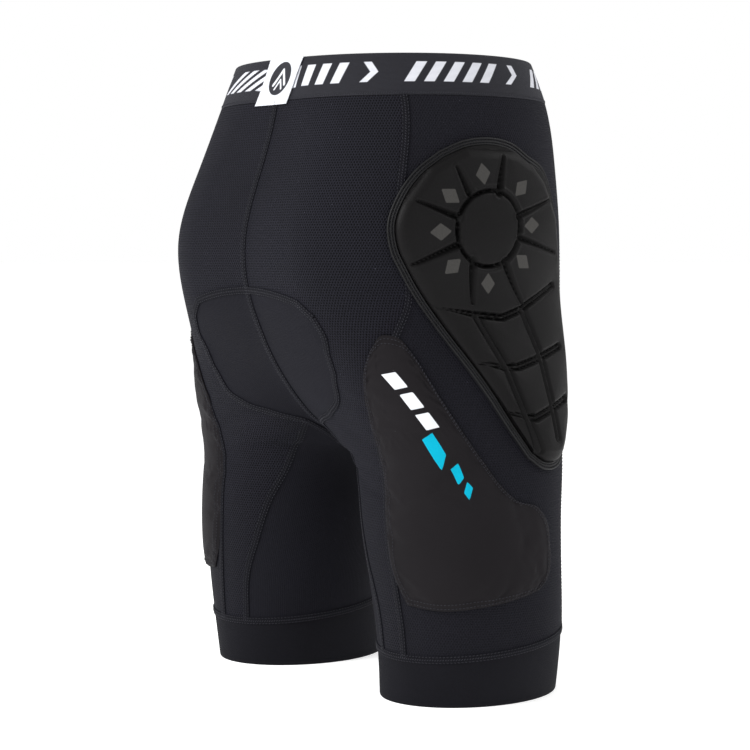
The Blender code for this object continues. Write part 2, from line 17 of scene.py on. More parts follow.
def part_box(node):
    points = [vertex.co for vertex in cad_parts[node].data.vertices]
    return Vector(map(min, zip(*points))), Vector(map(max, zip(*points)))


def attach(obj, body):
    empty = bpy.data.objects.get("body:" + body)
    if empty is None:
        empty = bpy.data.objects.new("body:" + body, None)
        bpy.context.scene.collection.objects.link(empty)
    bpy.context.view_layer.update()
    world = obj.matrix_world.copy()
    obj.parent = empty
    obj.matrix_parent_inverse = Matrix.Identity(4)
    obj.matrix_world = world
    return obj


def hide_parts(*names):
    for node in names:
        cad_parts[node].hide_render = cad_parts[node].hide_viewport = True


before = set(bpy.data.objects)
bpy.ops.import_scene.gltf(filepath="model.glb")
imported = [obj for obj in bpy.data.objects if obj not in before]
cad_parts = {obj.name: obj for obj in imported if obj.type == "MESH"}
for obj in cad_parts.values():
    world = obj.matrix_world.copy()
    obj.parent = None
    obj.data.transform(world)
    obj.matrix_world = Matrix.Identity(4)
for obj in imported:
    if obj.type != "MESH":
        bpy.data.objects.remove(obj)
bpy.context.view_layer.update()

# %% [markdown]
# ## The body form
# Knitted shorts take the shape of the person in them. Instead of drawing every panel in space,
# one formula gives the whole skin: a place has an **angle** round the leg or hip (0 outwards,
# 90 to the back, -90 to the front, 180 inwards) and a **level** (0 at the hem, 1 at the crotch,
# 2 at the top of the waistband). Each row below is one level: how far the leg's middle is from
# the centre, how far back it is, and the distance from there outwards, to the back and to the
# front. A natural cubic spline joins the rows, because it has no kink that a light would show.

# %% Body form
INSEAM, RISE = 0.205, 0.325
FORM_SHIFT = -0.0121
ARCH_HALF_WIDTH, ARCH_DROP, LEG_TAPER = 0.0225, 0.050, 0.12
SEAT_DROP, SEAT_DEPTH, WAIST_DEPTH = 0.090, 0.94, 0.992
FORM = np.array([
    (0.00, 0.112, -0.006, 0.0660, 0.0830, 0.0790),
    (0.20, 0.115, -0.004, 0.0740, 0.0820, 0.0770),
    (0.50, 0.112, -0.001, 0.0820, 0.0850, 0.0785),
    (0.78, 0.106, -0.001, 0.0850, 0.0880, 0.0840),
    (1.00, 0.101, 0.000, 0.0860, 0.0915, 0.0920),
    (1.11, 0.093, 0.004, 0.0880, 0.1010, 0.1030),
    (1.23, 0.080, 0.003, 0.0905, 0.1190, 0.1170),
    (1.37, 0.0685, 0.002, 0.0930, 0.1410, 0.1270),
    (1.54, 0.065, 0.005, 0.1020, 0.1445, 0.1280),
    (1.72, 0.056, 0.002, 0.1085, 0.1285, 0.1230),
    (1.89, 0.036, -0.003, 0.1195, 0.1160, 0.1165),
    (2.00, 0.016, -0.004, 0.1225, 0.1130, 0.1150),
])


def natural_spline(xs, ys):
    """Function that runs smoothly through the points, straight at its ends."""
    step = np.diff(xs)
    count = len(xs)
    system = np.eye(count)
    right = np.zeros_like(ys)
    for k in range(1, count - 1):
        system[k, k - 1:k + 2] = step[k - 1], 2 * (step[k - 1] + step[k]), step[k]
        right[k] = 6 * ((ys[k + 1] - ys[k]) / step[k] - (ys[k] - ys[k - 1]) / step[k - 1])
    bend = np.linalg.solve(system, right)

    def at(x):
        k = np.clip(np.searchsorted(xs, x) - 1, 0, count - 2)
        h, a, b = step[k], xs[k + 1] - x, x - xs[k]
        h, a, b = h[..., None], a[..., None], b[..., None]
        return (bend[k] * a**3 / (6 * h) + bend[k + 1] * b**3 / (6 * h)
                + (ys[k] / h - bend[k] * h / 6) * a + (ys[k + 1] / h - bend[k + 1] * h / 6) * b)

    return at


form_at = natural_spline(FORM[:, 0], FORM[:, 1:])


def arch(x):
    """Quarter of a circle, from 0 at x = 0 to 1 at x = 1."""
    return np.sqrt(1 - np.clip(1 - x, 0, 1) ** 2)


def height(level):
    """Height above the floor of a level."""
    return INSEAM * np.minimum(level, 1.0) + RISE * np.maximum(level - 1.0, 0.0)


def level_at(z):
    """Level at a height above the floor."""
    return np.where(z < INSEAM, z / INSEAM, 1.0 + (z - INSEAM) / RISE)


def centre_angle(level):
    """Angle at which the two halves meet at the back."""
    rise = RISE * np.maximum(level - 1.0, 0.0)
    depth = SEAT_DEPTH * arch(rise / SEAT_DROP) + (WAIST_DEPTH - SEAT_DEPTH) * rise / RISE
    return 180 - np.degrees(np.arcsin(np.clip(depth, 0, 1)))


def form(side, angle, level):
    """Points on the skin. side is -1 for the wearer's right and 1 for the left."""
    angle, level = np.broadcast_arrays(np.asarray(angle, float), np.asarray(level, float))
    centre, back_shift, out, back, front = np.moveaxis(form_at(level), -1, 0)
    cosine, sine = np.cos(np.radians(angle)), np.sin(np.radians(angle))
    drop = INSEAM * np.maximum(1 - level, 0)
    leg_reach = centre - ARCH_HALF_WIDTH * arch(drop / ARCH_DROP) - LEG_TAPER * drop
    meet = np.radians(centre_angle(level))
    hip_reach = centre / np.maximum(-np.cos(meet), 1e-6)
    reach = np.where(cosine > 0, out, np.where(level < 1, leg_reach, hip_reach))
    x = np.minimum(-centre - reach * cosine, 0.0)
    y = back_shift + np.where(sine > 0, back, front) * sine
    y = y + cleft_round(x, sine, level, centre, back, front, meet)
    swell = cloth_folds(angle, level) * np.where(level < 1, 1.0, np.clip(-x / 0.012, 0, 1))
    x, y = x - swell * cosine, FORM_SHIFT + y + swell * sine
    return np.stack((-side * x, y, height(level)), axis=-1)


# %% [markdown]
# Where the halves meet, two curved cheeks would make a sharp crease. Stretch cloth bridges such
# a crease, so the form is rounded there: the slope `m|x|` becomes `m sqrt(x2 + r2)`. Small folds
# are added as well, where the leg turns into the seat and the cloth has to give.

# %% Rounded cleft and small folds
CLEFT_RADIUS = 0.009
FOLDS = (  # angle and level at the middle, half-lengths there, tilt, depth in metres
    (126, 0.98, 30, 0.030, 0.0016, 0.0022),
    (118, 0.90, 34, 0.026, 0.0018, 0.0016),
    (104, 1.07, 22, 0.022, 0.0022, 0.0014),
    (-118, 1.02, 32, 0.030, 0.0012, 0.0018),
    (-104, 1.12, 26, 0.024, 0.0014, 0.0014),
    (-60, 1.16, 30, 0.022, -0.0014, 0.0010),
    (72, 1.10, 20, 0.020, 0.0020, 0.0010),
)


def cleft_round(x, sine, level, centre, back, front, meet):
    """How far the cloth stands off the cleft, towards the back or the front."""
    depth = np.where(sine > 0, back, front)
    slope = depth * np.cos(meet) ** 2 / (centre * np.maximum(np.sin(meet), 0.05))
    slope = np.minimum(slope, 1.1) * np.clip((level - 1.0) / 0.08, 0, 1)
    return np.sign(sine) * slope * (np.sqrt(x * x + CLEFT_RADIUS**2) - np.abs(x))


def cloth_folds(angle, level):
    """Shallow folds across the skin, as a lift in metres."""
    lift = np.zeros(np.shape(angle))
    for middle, at, half_angle, half_level, tilt, depth in FOLDS:
        turn = (angle - middle + 180) % 360 - 180
        across = (level - at - tilt * turn) / half_level
        along_it = turn / half_angle
        lift = lift - depth * np.exp(-across**2 - along_it**2) * (1 - 0.5 * across)
    return lift


# %% [markdown]
# ## Seams and panels
# A cutter draws seams first, and panels are what lies between them. The seams below are the
# same lines that the plain model has. `coons` fills the space between four edges with an even
# grid of pattern points, which is how a grid can follow four curved sides.

# %% Seam lines
WAISTBAND_HEIGHT, HEM_HEIGHT, HEM_TILT = 0.035, 0.048, 0.009
BAND_LEVEL = 2 - WAISTBAND_HEIGHT / RISE
SIDE_BACK = [(44, 1.892), (42, 1.60), (38, 1.385), (48, 1.292), (72, 1.17), (84, 1.015),
             (86, 0.73), (84, 0.20)]
SIDE_FRONT = [(-60, 1.892), (-60, 1.40), (-56, 1.0), (-51, 0.20)]
GUSSET_TOP = [(105, 1.408), (99, 1.402), (91, 1.382), (83, 1.342)]
GUSSET_LOW_BACK = [(83, 1.342), (82, 1.30), (86.5, 1.25), (91, 1.19), (95, 1.14),
                   (104, 1.104), (118, 1.08), (136, 1.06)]
GUSSET_LOW_IN = [(136, 1.06), (150, 1.022), (165, 0.976), (180, 0.937)]
GUSSET_LOW_FRONT_IN = [(180, 0.937), (195, 0.970), (210, 1.018), (228, 1.075)]
GUSSET_LOW_FRONT = [(228, 1.075), (242, 1.120), (255, 1.175)]
INNER_BACK = [(136, 1.06), (132, 0.868), (124, 0.737), (116, 0.556), (109, 0.40), (107, 0.20)]
INNER_FRONT = [(228, 1.075), (236, 0.868), (243, 0.60), (247, 0.20)]
POUCH_EDGE = [(288, 1.892), (286, 1.66), (284, 1.477), (276, 1.29), (255, 1.175)]
ROWS = {"centre": 48, "gusset_top": 20, "low_back": 44, "low_in": 20, "low_front_in": 20,
        "low_front": 12, "inner": 48, "pouch": 48}
RIGHT, LEFT = -1, 1
SIDES = ((RIGHT, "right"), (LEFT, "left"))


def hermite(xs, ys, x):
    """Smooth curve through the points, with the mean slope of the neighbours at each."""
    xs, ys = np.asarray(xs, float), np.asarray(ys, float)
    slope = np.gradient(ys, xs, axis=0)
    k = np.clip(np.searchsorted(xs, x) - 1, 0, len(xs) - 2)
    step = (xs[k + 1] - xs[k])
    t = (x - xs[k]) / step
    if ys.ndim > 1:
        step, t = step[..., None], t[..., None]
    return ((2 * t**3 - 3 * t**2 + 1) * ys[k] + (t**3 - 2 * t**2 + t) * step * slope[k]
            + (3 * t**2 - 2 * t**3) * ys[k + 1] + (t**3 - t**2) * step * slope[k + 1])


def along(points, count):
    """The same curve as count + 1 points, evenly spaced in the pattern."""
    points = np.asarray(points, float)
    scale = np.array((1.0, 100.0)) if np.abs(points).max() > 1 else np.array((1.0, 1.0))
    travel = np.concatenate(([0.0], np.cumsum(np.hypot(*(np.diff(points, axis=0) * scale).T))))
    return hermite(travel, points, np.linspace(0, travel[-1], count + 1))


def hem_level(angle):
    """Level of the top of the hem band, which is deeper in front."""
    return (HEM_HEIGHT - HEM_TILT * np.sin(np.radians(angle))) / INSEAM


def pinned(curve, top=False, hem=False):
    """The curve with its first point on the waistband, or its last on the hem band, or both."""
    curve = np.array(curve, float)
    if top:
        curve[0, 1] = BAND_LEVEL
    if hem:
        curve[-1, 1] = hem_level(curve[-1, 0])
    return curve


def coons(left, right, top, bottom):
    """Grid of pattern points that fills the space inside four edges."""
    v = np.linspace(0, 1, len(left))[:, None, None]
    u = np.linspace(0, 1, len(top))[None, :, None]
    left, right, top, bottom = left[:, None], right[:, None], top[None], bottom[None]
    corners = ((1 - u) * (1 - v) * top[:, :1] + u * (1 - v) * top[:, -1:]
               + (1 - u) * v * bottom[:, :1] + u * v * bottom[:, -1:])
    return (1 - u) * left + u * right + (1 - v) * top + v * bottom - corners


def straight(start, end, count):
    """count + 1 pattern points in a straight line."""
    t = np.linspace(0, 1, count + 1)[:, None]
    return start * (1 - t) + end * t


def hem_line(start, end, count):
    """Pattern points along the top of the hem band."""
    angles = np.linspace(start, end, count + 1)
    return np.stack((angles, hem_level(angles)), axis=1)


def centre_line(top, bottom, count):
    """The centre-back seam between two levels; it slows down where it turns under."""
    t = np.linspace(0, 1, count + 1)
    levels = top + (bottom - top) * (np.sin(t * math.pi / 2) if bottom <= 1 else t)
    return np.stack((centre_angle(levels), levels), axis=1)


def gusset_top_edge(count=ROWS["gusset_top"]):
    """The gusset's top edge, from the centre-back seam outwards."""
    edge = along(GUSSET_TOP, count)
    edge[0, 0] = centre_angle(edge[0, 1])
    return edge


def side_back_rows():
    """The seam between back and side panels, divided to match what lies across from it."""
    stops = (BAND_LEVEL, 1.39, 1.29, 1.0, float(hem_level(SIDE_BACK[-1][0])))
    counts = (ROWS["centre"], ROWS["gusset_top"], ROWS["low_back"], ROWS["inner"])
    levels = [np.linspace(a, b, n + 1)[:-1] for a, b, n in zip(stops, stops[1:], counts)]
    levels = np.concatenate(levels + [stops[-1:]])
    seam = np.array(SIDE_BACK, float)[::-1]
    return np.stack((hermite(seam[:, 1], seam[:, 0], levels), levels), axis=1)


# %% [markdown]
# The gusset is the odd one: it starts under the seat, runs through the crotch and comes up in
# front. Its rows go from the middle line out to its edge, so the same grid serves all the way.

# %% Panel patterns
def back_panel_pattern(columns=40):
    """Seat and back of the thigh, from the centre-back seam to the side seam."""
    left = np.concatenate((centre_line(BAND_LEVEL, GUSSET_TOP[0][1], ROWS["centre"])[:-1],
                           gusset_top_edge()[:-1], along(GUSSET_LOW_BACK, ROWS["low_back"])[:-1],
                           along(pinned(INNER_BACK, hem=True), ROWS["inner"])))
    right = side_back_rows()
    return coons(left, right, straight(left[0], right[0], columns),
                 hem_line(left[-1][0], right[-1][0], columns))


def side_panel_pattern(columns=48):
    """Outer side of hip and thigh, under both pads."""
    left = side_back_rows()
    right = along(pinned(SIDE_FRONT, top=True, hem=True), len(left) - 1)
    return coons(left, right, straight(left[0], right[0], columns),
                 hem_line(left[-1][0], right[-1][0], columns))


def front_panel_pattern(columns=36):
    """Front of the thigh, from the side seam to the pouch and the inner leg."""
    right = np.concatenate((along(pinned(POUCH_EDGE, top=True), ROWS["pouch"])[:-1],
                            along(GUSSET_LOW_FRONT, ROWS["low_front"])[::-1][:-1],
                            along(pinned(INNER_FRONT, hem=True), ROWS["inner"])))
    left = along(pinned(SIDE_FRONT, top=True, hem=True), len(right) - 1) + (360, 0)
    return coons(left, right, straight(left[0], right[0], columns),
                 hem_line(left[-1][0], right[-1][0], columns))


def inner_panel_pattern():
    """Inner thigh below the gusset."""
    top = np.concatenate((along(GUSSET_LOW_IN, ROWS["low_in"])[:-1],
                          along(GUSSET_LOW_FRONT_IN, ROWS["low_front_in"])))
    left = along(pinned(INNER_BACK, hem=True), ROWS["inner"])
    right = along(pinned(INNER_FRONT, hem=True), ROWS["inner"])
    return coons(left, right, top, hem_line(left[-1][0], right[-1][0], len(top) - 1))


def half_gusset(middle, edge, top=None, columns=ROWS["gusset_top"]):
    """Rows from the middle line out to the edge, bowed along the top edge."""
    t = np.linspace(0, 1, columns + 1)[None]
    level = middle[:, 1:] * (1 - t) + edge[:, 1:] * t
    reach = (middle[:, :1] / centre_angle(middle[:, 1:]) * (1 - t)
             + edge[:, :1] / centre_angle(edge[:, 1:]) * t)
    grid = np.stack((reach * centre_angle(level), level), axis=-1)
    if top is not None:
        grid = grid + (np.linspace(1, 0, len(middle)) ** 2)[:, None, None] * (top - grid[0])[None]
    return grid


def gusset_pattern(columns=ROWS["gusset_top"]):
    """From the seat through the crotch and up in front, as one grid."""
    edge = np.concatenate((along(GUSSET_LOW_BACK, ROWS["low_back"])[:-1],
                           along(GUSSET_LOW_IN, ROWS["low_in"])))
    middle = centre_line(GUSSET_TOP[0][1], 1.0, len(edge) - 1)
    back = half_gusset(middle, edge, gusset_top_edge(columns), columns)
    edge = np.concatenate((along(GUSSET_LOW_FRONT_IN, ROWS["low_front_in"])[:-1],
                           along(GUSSET_LOW_FRONT, ROWS["low_front"])))[::-1] * (-1, 1) + (360, 0)
    middle = centre_line(GUSSET_LOW_FRONT[-1][1], 1.0, len(edge) - 1)
    front = half_gusset(middle, edge, None, columns)[::-1] * (-1, 1) + (360, 0)
    return np.concatenate((back, front[1:]))


def pouch_pattern(half_columns=24):
    """Right half of the contoured front panel, from the middle to its edge."""
    edge = along(pinned(POUCH_EDGE, top=True), ROWS["pouch"])
    middle = 360 - centre_angle(edge[:, 1])
    t = np.linspace(0, 1, half_columns + 1)[None]
    angle = middle[:, None] * (1 - t) + edge[:, :1] * t
    return np.stack((angle, np.broadcast_to(edge[:, 1:], angle.shape)), axis=-1)


# %% [markdown]
# ## From pattern to solid
# Every cloth piece here is one flat grid, made by Blender's grid operator and extruded into a
# slab. Then its points are moved: the slab's lower face goes to the inner side of the cloth and
# its upper face to the outer side. Cloth needs a thickness, because a single sheet has no edge.

# %% Slabs on the form
def grid_normals(points, ring=False):
    """Unit normals of a grid of points, turned away from the body's middle."""
    if ring:
        closed = np.concatenate((points[:, -2:-1], points, points[:, 1:2]), axis=1)
        across = closed[:, 2:] - closed[:, :-2]
    else:
        across = np.gradient(points, axis=1)
    normal = np.cross(across, np.gradient(points, axis=0))
    normal /= np.maximum(np.linalg.norm(normal, axis=2, keepdims=True), 1e-12)
    inside = points.mean(axis=(0, 1)) * ((1, 1, 1) if ring else (0.75, 0, 1))
    return normal if np.sum(normal * (points - inside)) > 0 else -normal


def pattern_uv(points, ring=False):
    """Flat coordinates in metres for a grid: along its rows and down its columns."""
    across = np.linalg.norm(np.diff(points, axis=1), axis=2)
    down = np.linalg.norm(np.diff(points, axis=0), axis=2)
    u = np.concatenate((np.zeros((len(points), 1)), np.cumsum(across, axis=1)), axis=1)
    v = np.concatenate((np.zeros((1, points.shape[1])), np.cumsum(down, axis=0)))
    u = u if ring else u - u[:, -1:] / 2
    return np.stack((u, -v), axis=-1)


def look_up(table, i, j):
    """Table read between its rows and its columns."""
    i0 = np.clip(i.astype(int), 0, table.shape[0] - 2)
    j0 = np.clip(j.astype(int), 0, table.shape[1] - 2)
    di, dj = i - i0, j - j0
    return ((1 - di) * ((1 - dj) * table[i0, j0] + dj * table[i0, j0 + 1])
            + di * ((1 - dj) * table[i0 + 1, j0] + dj * table[i0 + 1, j0 + 1]))


def tape_uv(side, pattern):
    """Flat coordinates in metres of a pattern: round the form at each level, and height."""
    angle, level = pattern[..., 0], pattern[..., 1]
    angles = np.linspace(angle.min(), angle.max(), 181)
    levels = np.linspace(level.min(), level.max(), 121)
    wide, high = np.meshgrid(angles, levels)
    steps = np.linalg.norm(np.diff(form(side, wide, high), axis=1), axis=2)
    travel = np.concatenate((np.zeros((len(levels), 1)), np.cumsum(steps, axis=1)), axis=1)
    travel = travel - travel[:, 90:91]
    i = np.interp(level, levels, np.arange(len(levels)))
    j = np.interp(angle, angles, np.arange(len(angles)))
    return np.stack((look_up(travel, i, j), height(level)), axis=-1)


def place_grid(bm, rows, columns):
    """Numbers the points of a fresh grid row by row, and returns the layer that holds it."""
    place = bm.verts.layers.int.new("place")
    for vert in bm.verts:
        row = round((vert.co.y + 1) / 2 * (rows - 1))
        vert[place] = row * columns + round((vert.co.x + 1) / 2 * (columns - 1))
    return place


def paint_uv(bm, place, uv):
    """Writes flat coordinates on a grid's corners."""
    layer = bm.loops.layers.uv.new("pattern")
    flat = uv.reshape(-1, 2).tolist()
    for face in bm.faces:
        for loop in face.loops:
            loop[layer].uv = flat[loop.vert[place]]


def close_ring(bm, place, columns):
    """Brings the last column of a grid onto its first and joins them."""
    for vert in bm.verts:
        if vert[place] % columns == columns - 1:
            vert.co.x = -1.0
            vert[place] -= columns - 1
    bmesh.ops.remove_doubles(bm, verts=bm.verts[:], dist=1e-5)


def read_layer(mesh, name):
    """Takes an integer layer off a mesh as an array."""
    values = np.empty(len(mesh.vertices), int)
    mesh.attributes[name].data.foreach_get("value", values)
    mesh.attributes.remove(mesh.attributes[name])
    return values


def slab(name, points, inner, outer, material, ring=False, normals=None, uv=None, fields=None):
    """Closed piece on a grid of points, from inner to outer metres above it."""
    rows, columns = points.shape[:2]
    normals = grid_normals(points, ring) if normals is None else normals
    bm = bmesh.new()
    bmesh.ops.create_grid(bm, x_segments=columns - 1, y_segments=rows - 1, size=1.0)
    place = place_grid(bm, rows, columns)
    paint_uv(bm, place, pattern_uv(points, ring) if uv is None else uv)
    if ring:
        close_ring(bm, place, columns)
    lifted = bm.verts.layers.int.new("lifted")
    result = bmesh.ops.extrude_face_region(bm, geom=bm.faces[:], use_keep_orig=True)
    for item in result["geom"]:
        if isinstance(item, bmesh.types.BMVert):
            item[lifted] = 1
    mesh = bpy.data.meshes.new(name)
    bm.to_mesh(mesh)
    bm.free()
    index, top = read_layer(mesh, "place"), read_layer(mesh, "lifted")
    for key, table in (fields or {}).items():
        field = mesh.attributes.new(key, "FLOAT", "POINT")
        field.data.foreach_set("value", np.asarray(table, float).reshape(-1)[index])
    inner, outer = (np.broadcast_to(x, (rows, columns))[..., None] for x in (inner, outer))
    low, high = (points + normals * inner).reshape(-1, 3), (points + normals * outer).reshape(-1, 3)
    mesh.vertices.foreach_set("co", np.where(top[:, None] == 1, high[index], low[index]).ravel())
    return finished(name, mesh, material)


def finished(name, mesh, material):
    """Object for a mesh, shaded smooth, with its faces outwards."""
    bm = bmesh.new()
    bm.from_mesh(mesh)
    bmesh.ops.recalc_face_normals(bm, faces=bm.faces[:])
    if bm.calc_volume(signed=True) < 0:
        bmesh.ops.reverse_faces(bm, faces=bm.faces[:])
    bm.to_mesh(mesh)
    bm.free()
    mesh.shade_smooth()
    mesh.set_sharp_from_angle(angle=math.radians(50))
    mesh.materials.append(material)
    obj = bpy.data.objects.new(name, mesh)
    bpy.context.scene.collection.objects.link(obj)
    return obj


def across_middle(right_half):
    """Points of a right half, mirrored and joined into one grid that crosses the middle."""
    return np.concatenate((right_half[:, :0:-1] * (-1, 1, 1), right_half), axis=1)


def drawn_in(points, gap):
    """The grid with its outer edges drawn in by half a gap, so neighbours don't touch."""
    points = points.copy()
    for edge, inside in ((0, 1), (-1, -2)):
        for grid in (points, points.swapaxes(0, 1)):
            step = grid[inside] - grid[edge]
            grid[edge] += step / np.linalg.norm(step, axis=1, keepdims=True) * gap / 2
    return points

# %% [markdown]
# ## Finishes
# Black cloth is never one black. Every finish below is built from a few shader node groups: a
# knit of fine loops, rows of eyelets, a mottle that varies the dye, and grain for foam. A group
# is made once and placed in each material with its own pitch and strength. `calc` is a short way
# to write one sum as one node.

# %% Node helpers
def add(tree, kind, values=None, **settings):
    """Adds a node, sets it up, and links or fills its inputs."""
    made = tree.nodes.new(kind)
    for key, value in settings.items():
        setattr(made, key, value)
    for key, value in (values or {}).items():
        if isinstance(value, bpy.types.NodeSocket):
            tree.links.new(value, made.inputs[key])
        else:
            made.inputs[key].default_value = value
    return made


def calc(tree, operation, a, b=0.0, c=0.0):
    """One Math node: its operation on up to three numbers."""
    return add(tree, "ShaderNodeMath", {0: a, 1: b, 2: c}, operation=operation).outputs[0]


def new_group(name, inputs, outputs):
    """Empty shader group with named inputs (name: default) and float outputs."""
    tree = bpy.data.node_groups.new(name, "ShaderNodeTree")
    for key, value in inputs.items():
        kind = "NodeSocketVector" if isinstance(value, tuple) else "NodeSocketFloat"
        socket = tree.interface.new_socket(key, in_out="INPUT", socket_type=kind)
        socket.default_value = value
    for key in outputs:
        tree.interface.new_socket(key, in_out="OUTPUT", socket_type="NodeSocketFloat")
    return tree, tree.nodes.new("NodeGroupInput").outputs, tree.nodes.new("NodeGroupOutput").inputs


def place_group(tree, group, values):
    """Puts a group in a material with its own values, and returns its outputs."""
    made = tree.nodes.new("ShaderNodeGroup")
    made.node_tree = group
    for key, value in values.items():
        if isinstance(value, bpy.types.NodeSocket):
            tree.links.new(value, made.inputs[key])
        else:
            made.inputs[key].default_value = value
    return made.outputs


# %% [markdown]
# A knitted face is columns of small loops. Along a column the yarn rises and falls, and the
# columns are parted by thin low lines, painted dark as shade, so two waves multiplied give a fair
# surface. The eyelet cloth has two crossed sets of round holes, which together make a honeycomb.

# %% Knit and eyelets
def knit_group():
    """Fine knit: height of the yarn, and a mask of the lines between its columns."""
    tree, given, result = new_group("fine_knit", {"Place": (0.0, 0.0, 0.0), "Pitch": 0.0009},
                                    ("Height", "Line"))
    parts = add(tree, "ShaderNodeSeparateXYZ", {0: given["Place"]}).outputs
    u = calc(tree, "DIVIDE", parts["X"], given["Pitch"])
    v = calc(tree, "DIVIDE", parts["Y"], given["Pitch"])
    column = calc(tree, "ABSOLUTE", calc(tree, "SINE", calc(tree, "MULTIPLY", u, math.pi)))
    lean = calc(tree, "PINGPONG", u, 0.5)
    loop = calc(tree, "SINE", calc(tree, "MULTIPLY", calc(tree, "ADD", v, lean), 2 * math.pi))
    yarn = calc(tree, "MULTIPLY_ADD", loop, 0.22, 0.78)
    tree.links.new(calc(tree, "MULTIPLY", column, yarn), result["Height"])
    tree.links.new(calc(tree, "SUBTRACT", 1.0, calc(tree, "SQRT", column)), result["Line"])
    return tree


def eyelet_group():
    """Honeycomb of round holes: a mask of the holes, and the height of the cloth round them."""
    tree, given, result = new_group(
        "eyelets", {"Place": (0.0, 0.0, 0.0), "Pitch": 0.0024, "Radius": 0.24}, ("Hole", "Height"))
    parts = add(tree, "ShaderNodeSeparateXYZ", {0: given["Place"]}).outputs
    u = calc(tree, "DIVIDE", parts["X"], given["Pitch"])
    v = calc(tree, "DIVIDE", parts["Y"], calc(tree, "MULTIPLY", given["Pitch"], 1.732))
    nearest = None
    for shift in (0.0, 0.5):
        across = calc(tree, "SUBTRACT", calc(tree, "FRACT", calc(tree, "ADD", u, shift)), 0.5)
        up = calc(tree, "SUBTRACT", calc(tree, "FRACT", calc(tree, "ADD", v, shift)), 0.5)
        up = calc(tree, "MULTIPLY", up, 1.732)
        square = calc(tree, "MULTIPLY_ADD", across, across, calc(tree, "MULTIPLY", up, up))
        nearest = square if nearest is None else calc(tree, "MINIMUM", nearest, square)
    distance = calc(tree, "SQRT", nearest)
    edge = add(tree, "ShaderNodeMapRange", {
        "Value": distance, "From Min": calc(tree, "MULTIPLY", given["Radius"], 0.75),
        "From Max": calc(tree, "MULTIPLY", given["Radius"], 1.25), "To Min": 1.0, "To Max": 0.0})
    tree.links.new(edge.outputs[0], result["Hole"])
    rim = calc(tree, "MULTIPLY", calc(tree, "SUBTRACT", distance, given["Radius"]), 2.2)
    tree.links.new(calc(tree, "MINIMUM", rim, 1.0), result["Height"])
    return tree


def mottle_group():
    """Uneven dye and stray fibres: a broad mottle, a fine one, and a mask of pale specks."""
    tree, given, result = new_group("mottle", {"Place": (0.0, 0.0, 0.0), "Scale": 9.0},
                                    ("Broad", "Fine", "Lint"))
    broad = add(tree, "ShaderNodeTexNoise", {
        "Vector": given["Place"], "Scale": given["Scale"], "Detail": 3.0, "Roughness": 0.55})
    tree.links.new(broad.outputs[0], result["Broad"])
    fine = add(tree, "ShaderNodeTexNoise", {
        "Vector": given["Place"], "Scale": calc(tree, "MULTIPLY", given["Scale"], 55.0),
        "Detail": 2.0, "Roughness": 0.6})
    tree.links.new(fine.outputs[0], result["Fine"])
    speck = add(tree, "ShaderNodeTexVoronoi", {
        "Vector": given["Place"], "Scale": calc(tree, "MULTIPLY", given["Scale"], 16.0)})
    dot = calc(tree, "LESS_THAN", speck.outputs["Distance"], 0.045)
    tree.links.new(calc(tree, "MULTIPLY", dot, calc(tree, "GREATER_THAN", broad.outputs[0], 0.54)),
                   result["Lint"])
    return tree


def grain_group():
    """Skin of moulded foam: fine pebbles with a few open pores."""
    tree, given, result = new_group("foam_grain", {"Place": (0.0, 0.0, 0.0), "Scale": 900.0},
                                    ("Height", "Pore"))
    pebble = add(tree, "ShaderNodeTexNoise", {
        "Vector": given["Place"], "Scale": given["Scale"], "Detail": 4.0, "Roughness": 0.6})
    cell = add(tree, "ShaderNodeTexVoronoi", {
        "Vector": given["Place"], "Scale": calc(tree, "MULTIPLY", given["Scale"], 0.6)})
    pore = calc(tree, "LESS_THAN", cell.outputs["Distance"], 0.16)
    tree.links.new(calc(tree, "MULTIPLY_ADD", pore, -0.5, pebble.outputs[0]), result["Height"])
    tree.links.new(pore, result["Pore"])
    return tree


KNIT, EYELETS, MOTTLE, GRAIN = knit_group(), eyelet_group(), mottle_group(), grain_group()
print("shader groups:", [group.name for group in bpy.data.node_groups])


# %% [markdown]
# One function dresses every cloth: base colour from the mottle, painted shade between the knit's
# columns and in the eyelet holes, a bump from the yarn, and a little sheen, because light catches
# the fibre ends where cloth curves away. Sheen is one constant number on the shader itself.

# %% Cloth finishes
def new_material(name, roughness, sheen=0.0, coat=0.0, specular=0.25):
    """Material with its shader and its object and pattern coordinates."""
    material = bpy.data.materials.new(name)
    material.use_nodes = True
    tree = material.node_tree
    shader = tree.nodes["Principled BSDF"]
    shader.inputs["Roughness"].default_value = roughness
    shader.inputs["Sheen Weight"].default_value = sheen
    shader.inputs["Sheen Roughness"].default_value = 0.45
    shader.inputs["Sheen Tint"].default_value = (0.55, 0.58, 0.75, 1.0)
    shader.inputs["Coat Weight"].default_value = coat
    shader.inputs["Specular IOR Level"].default_value = specular
    where = add(tree, "ShaderNodeTexCoord").outputs["Object"]
    flat = add(tree, "ShaderNodeUVMap", uv_map="pattern").outputs["UV"]
    return material, tree, shader, where, flat


def blend_colour(tree, amount, low, high):
    """Mix of two colours; each is a tuple or a socket."""
    low, high = (c if isinstance(c, bpy.types.NodeSocket) else (*c, 1.0) for c in (low, high))
    mixed = add(tree, "ShaderNodeMix", {0: amount, 6: low, 7: high}, data_type="RGBA")
    return mixed.outputs[2]


def bumped(tree, shader, height, distance, strength=1.0):
    """Bump of a real depth in metres on a material's shader."""
    bump = add(tree, "ShaderNodeBump", {"Height": height, "Distance": distance, "Strength": strength})
    tree.links.new(bump.outputs[0], shader.inputs["Normal"])


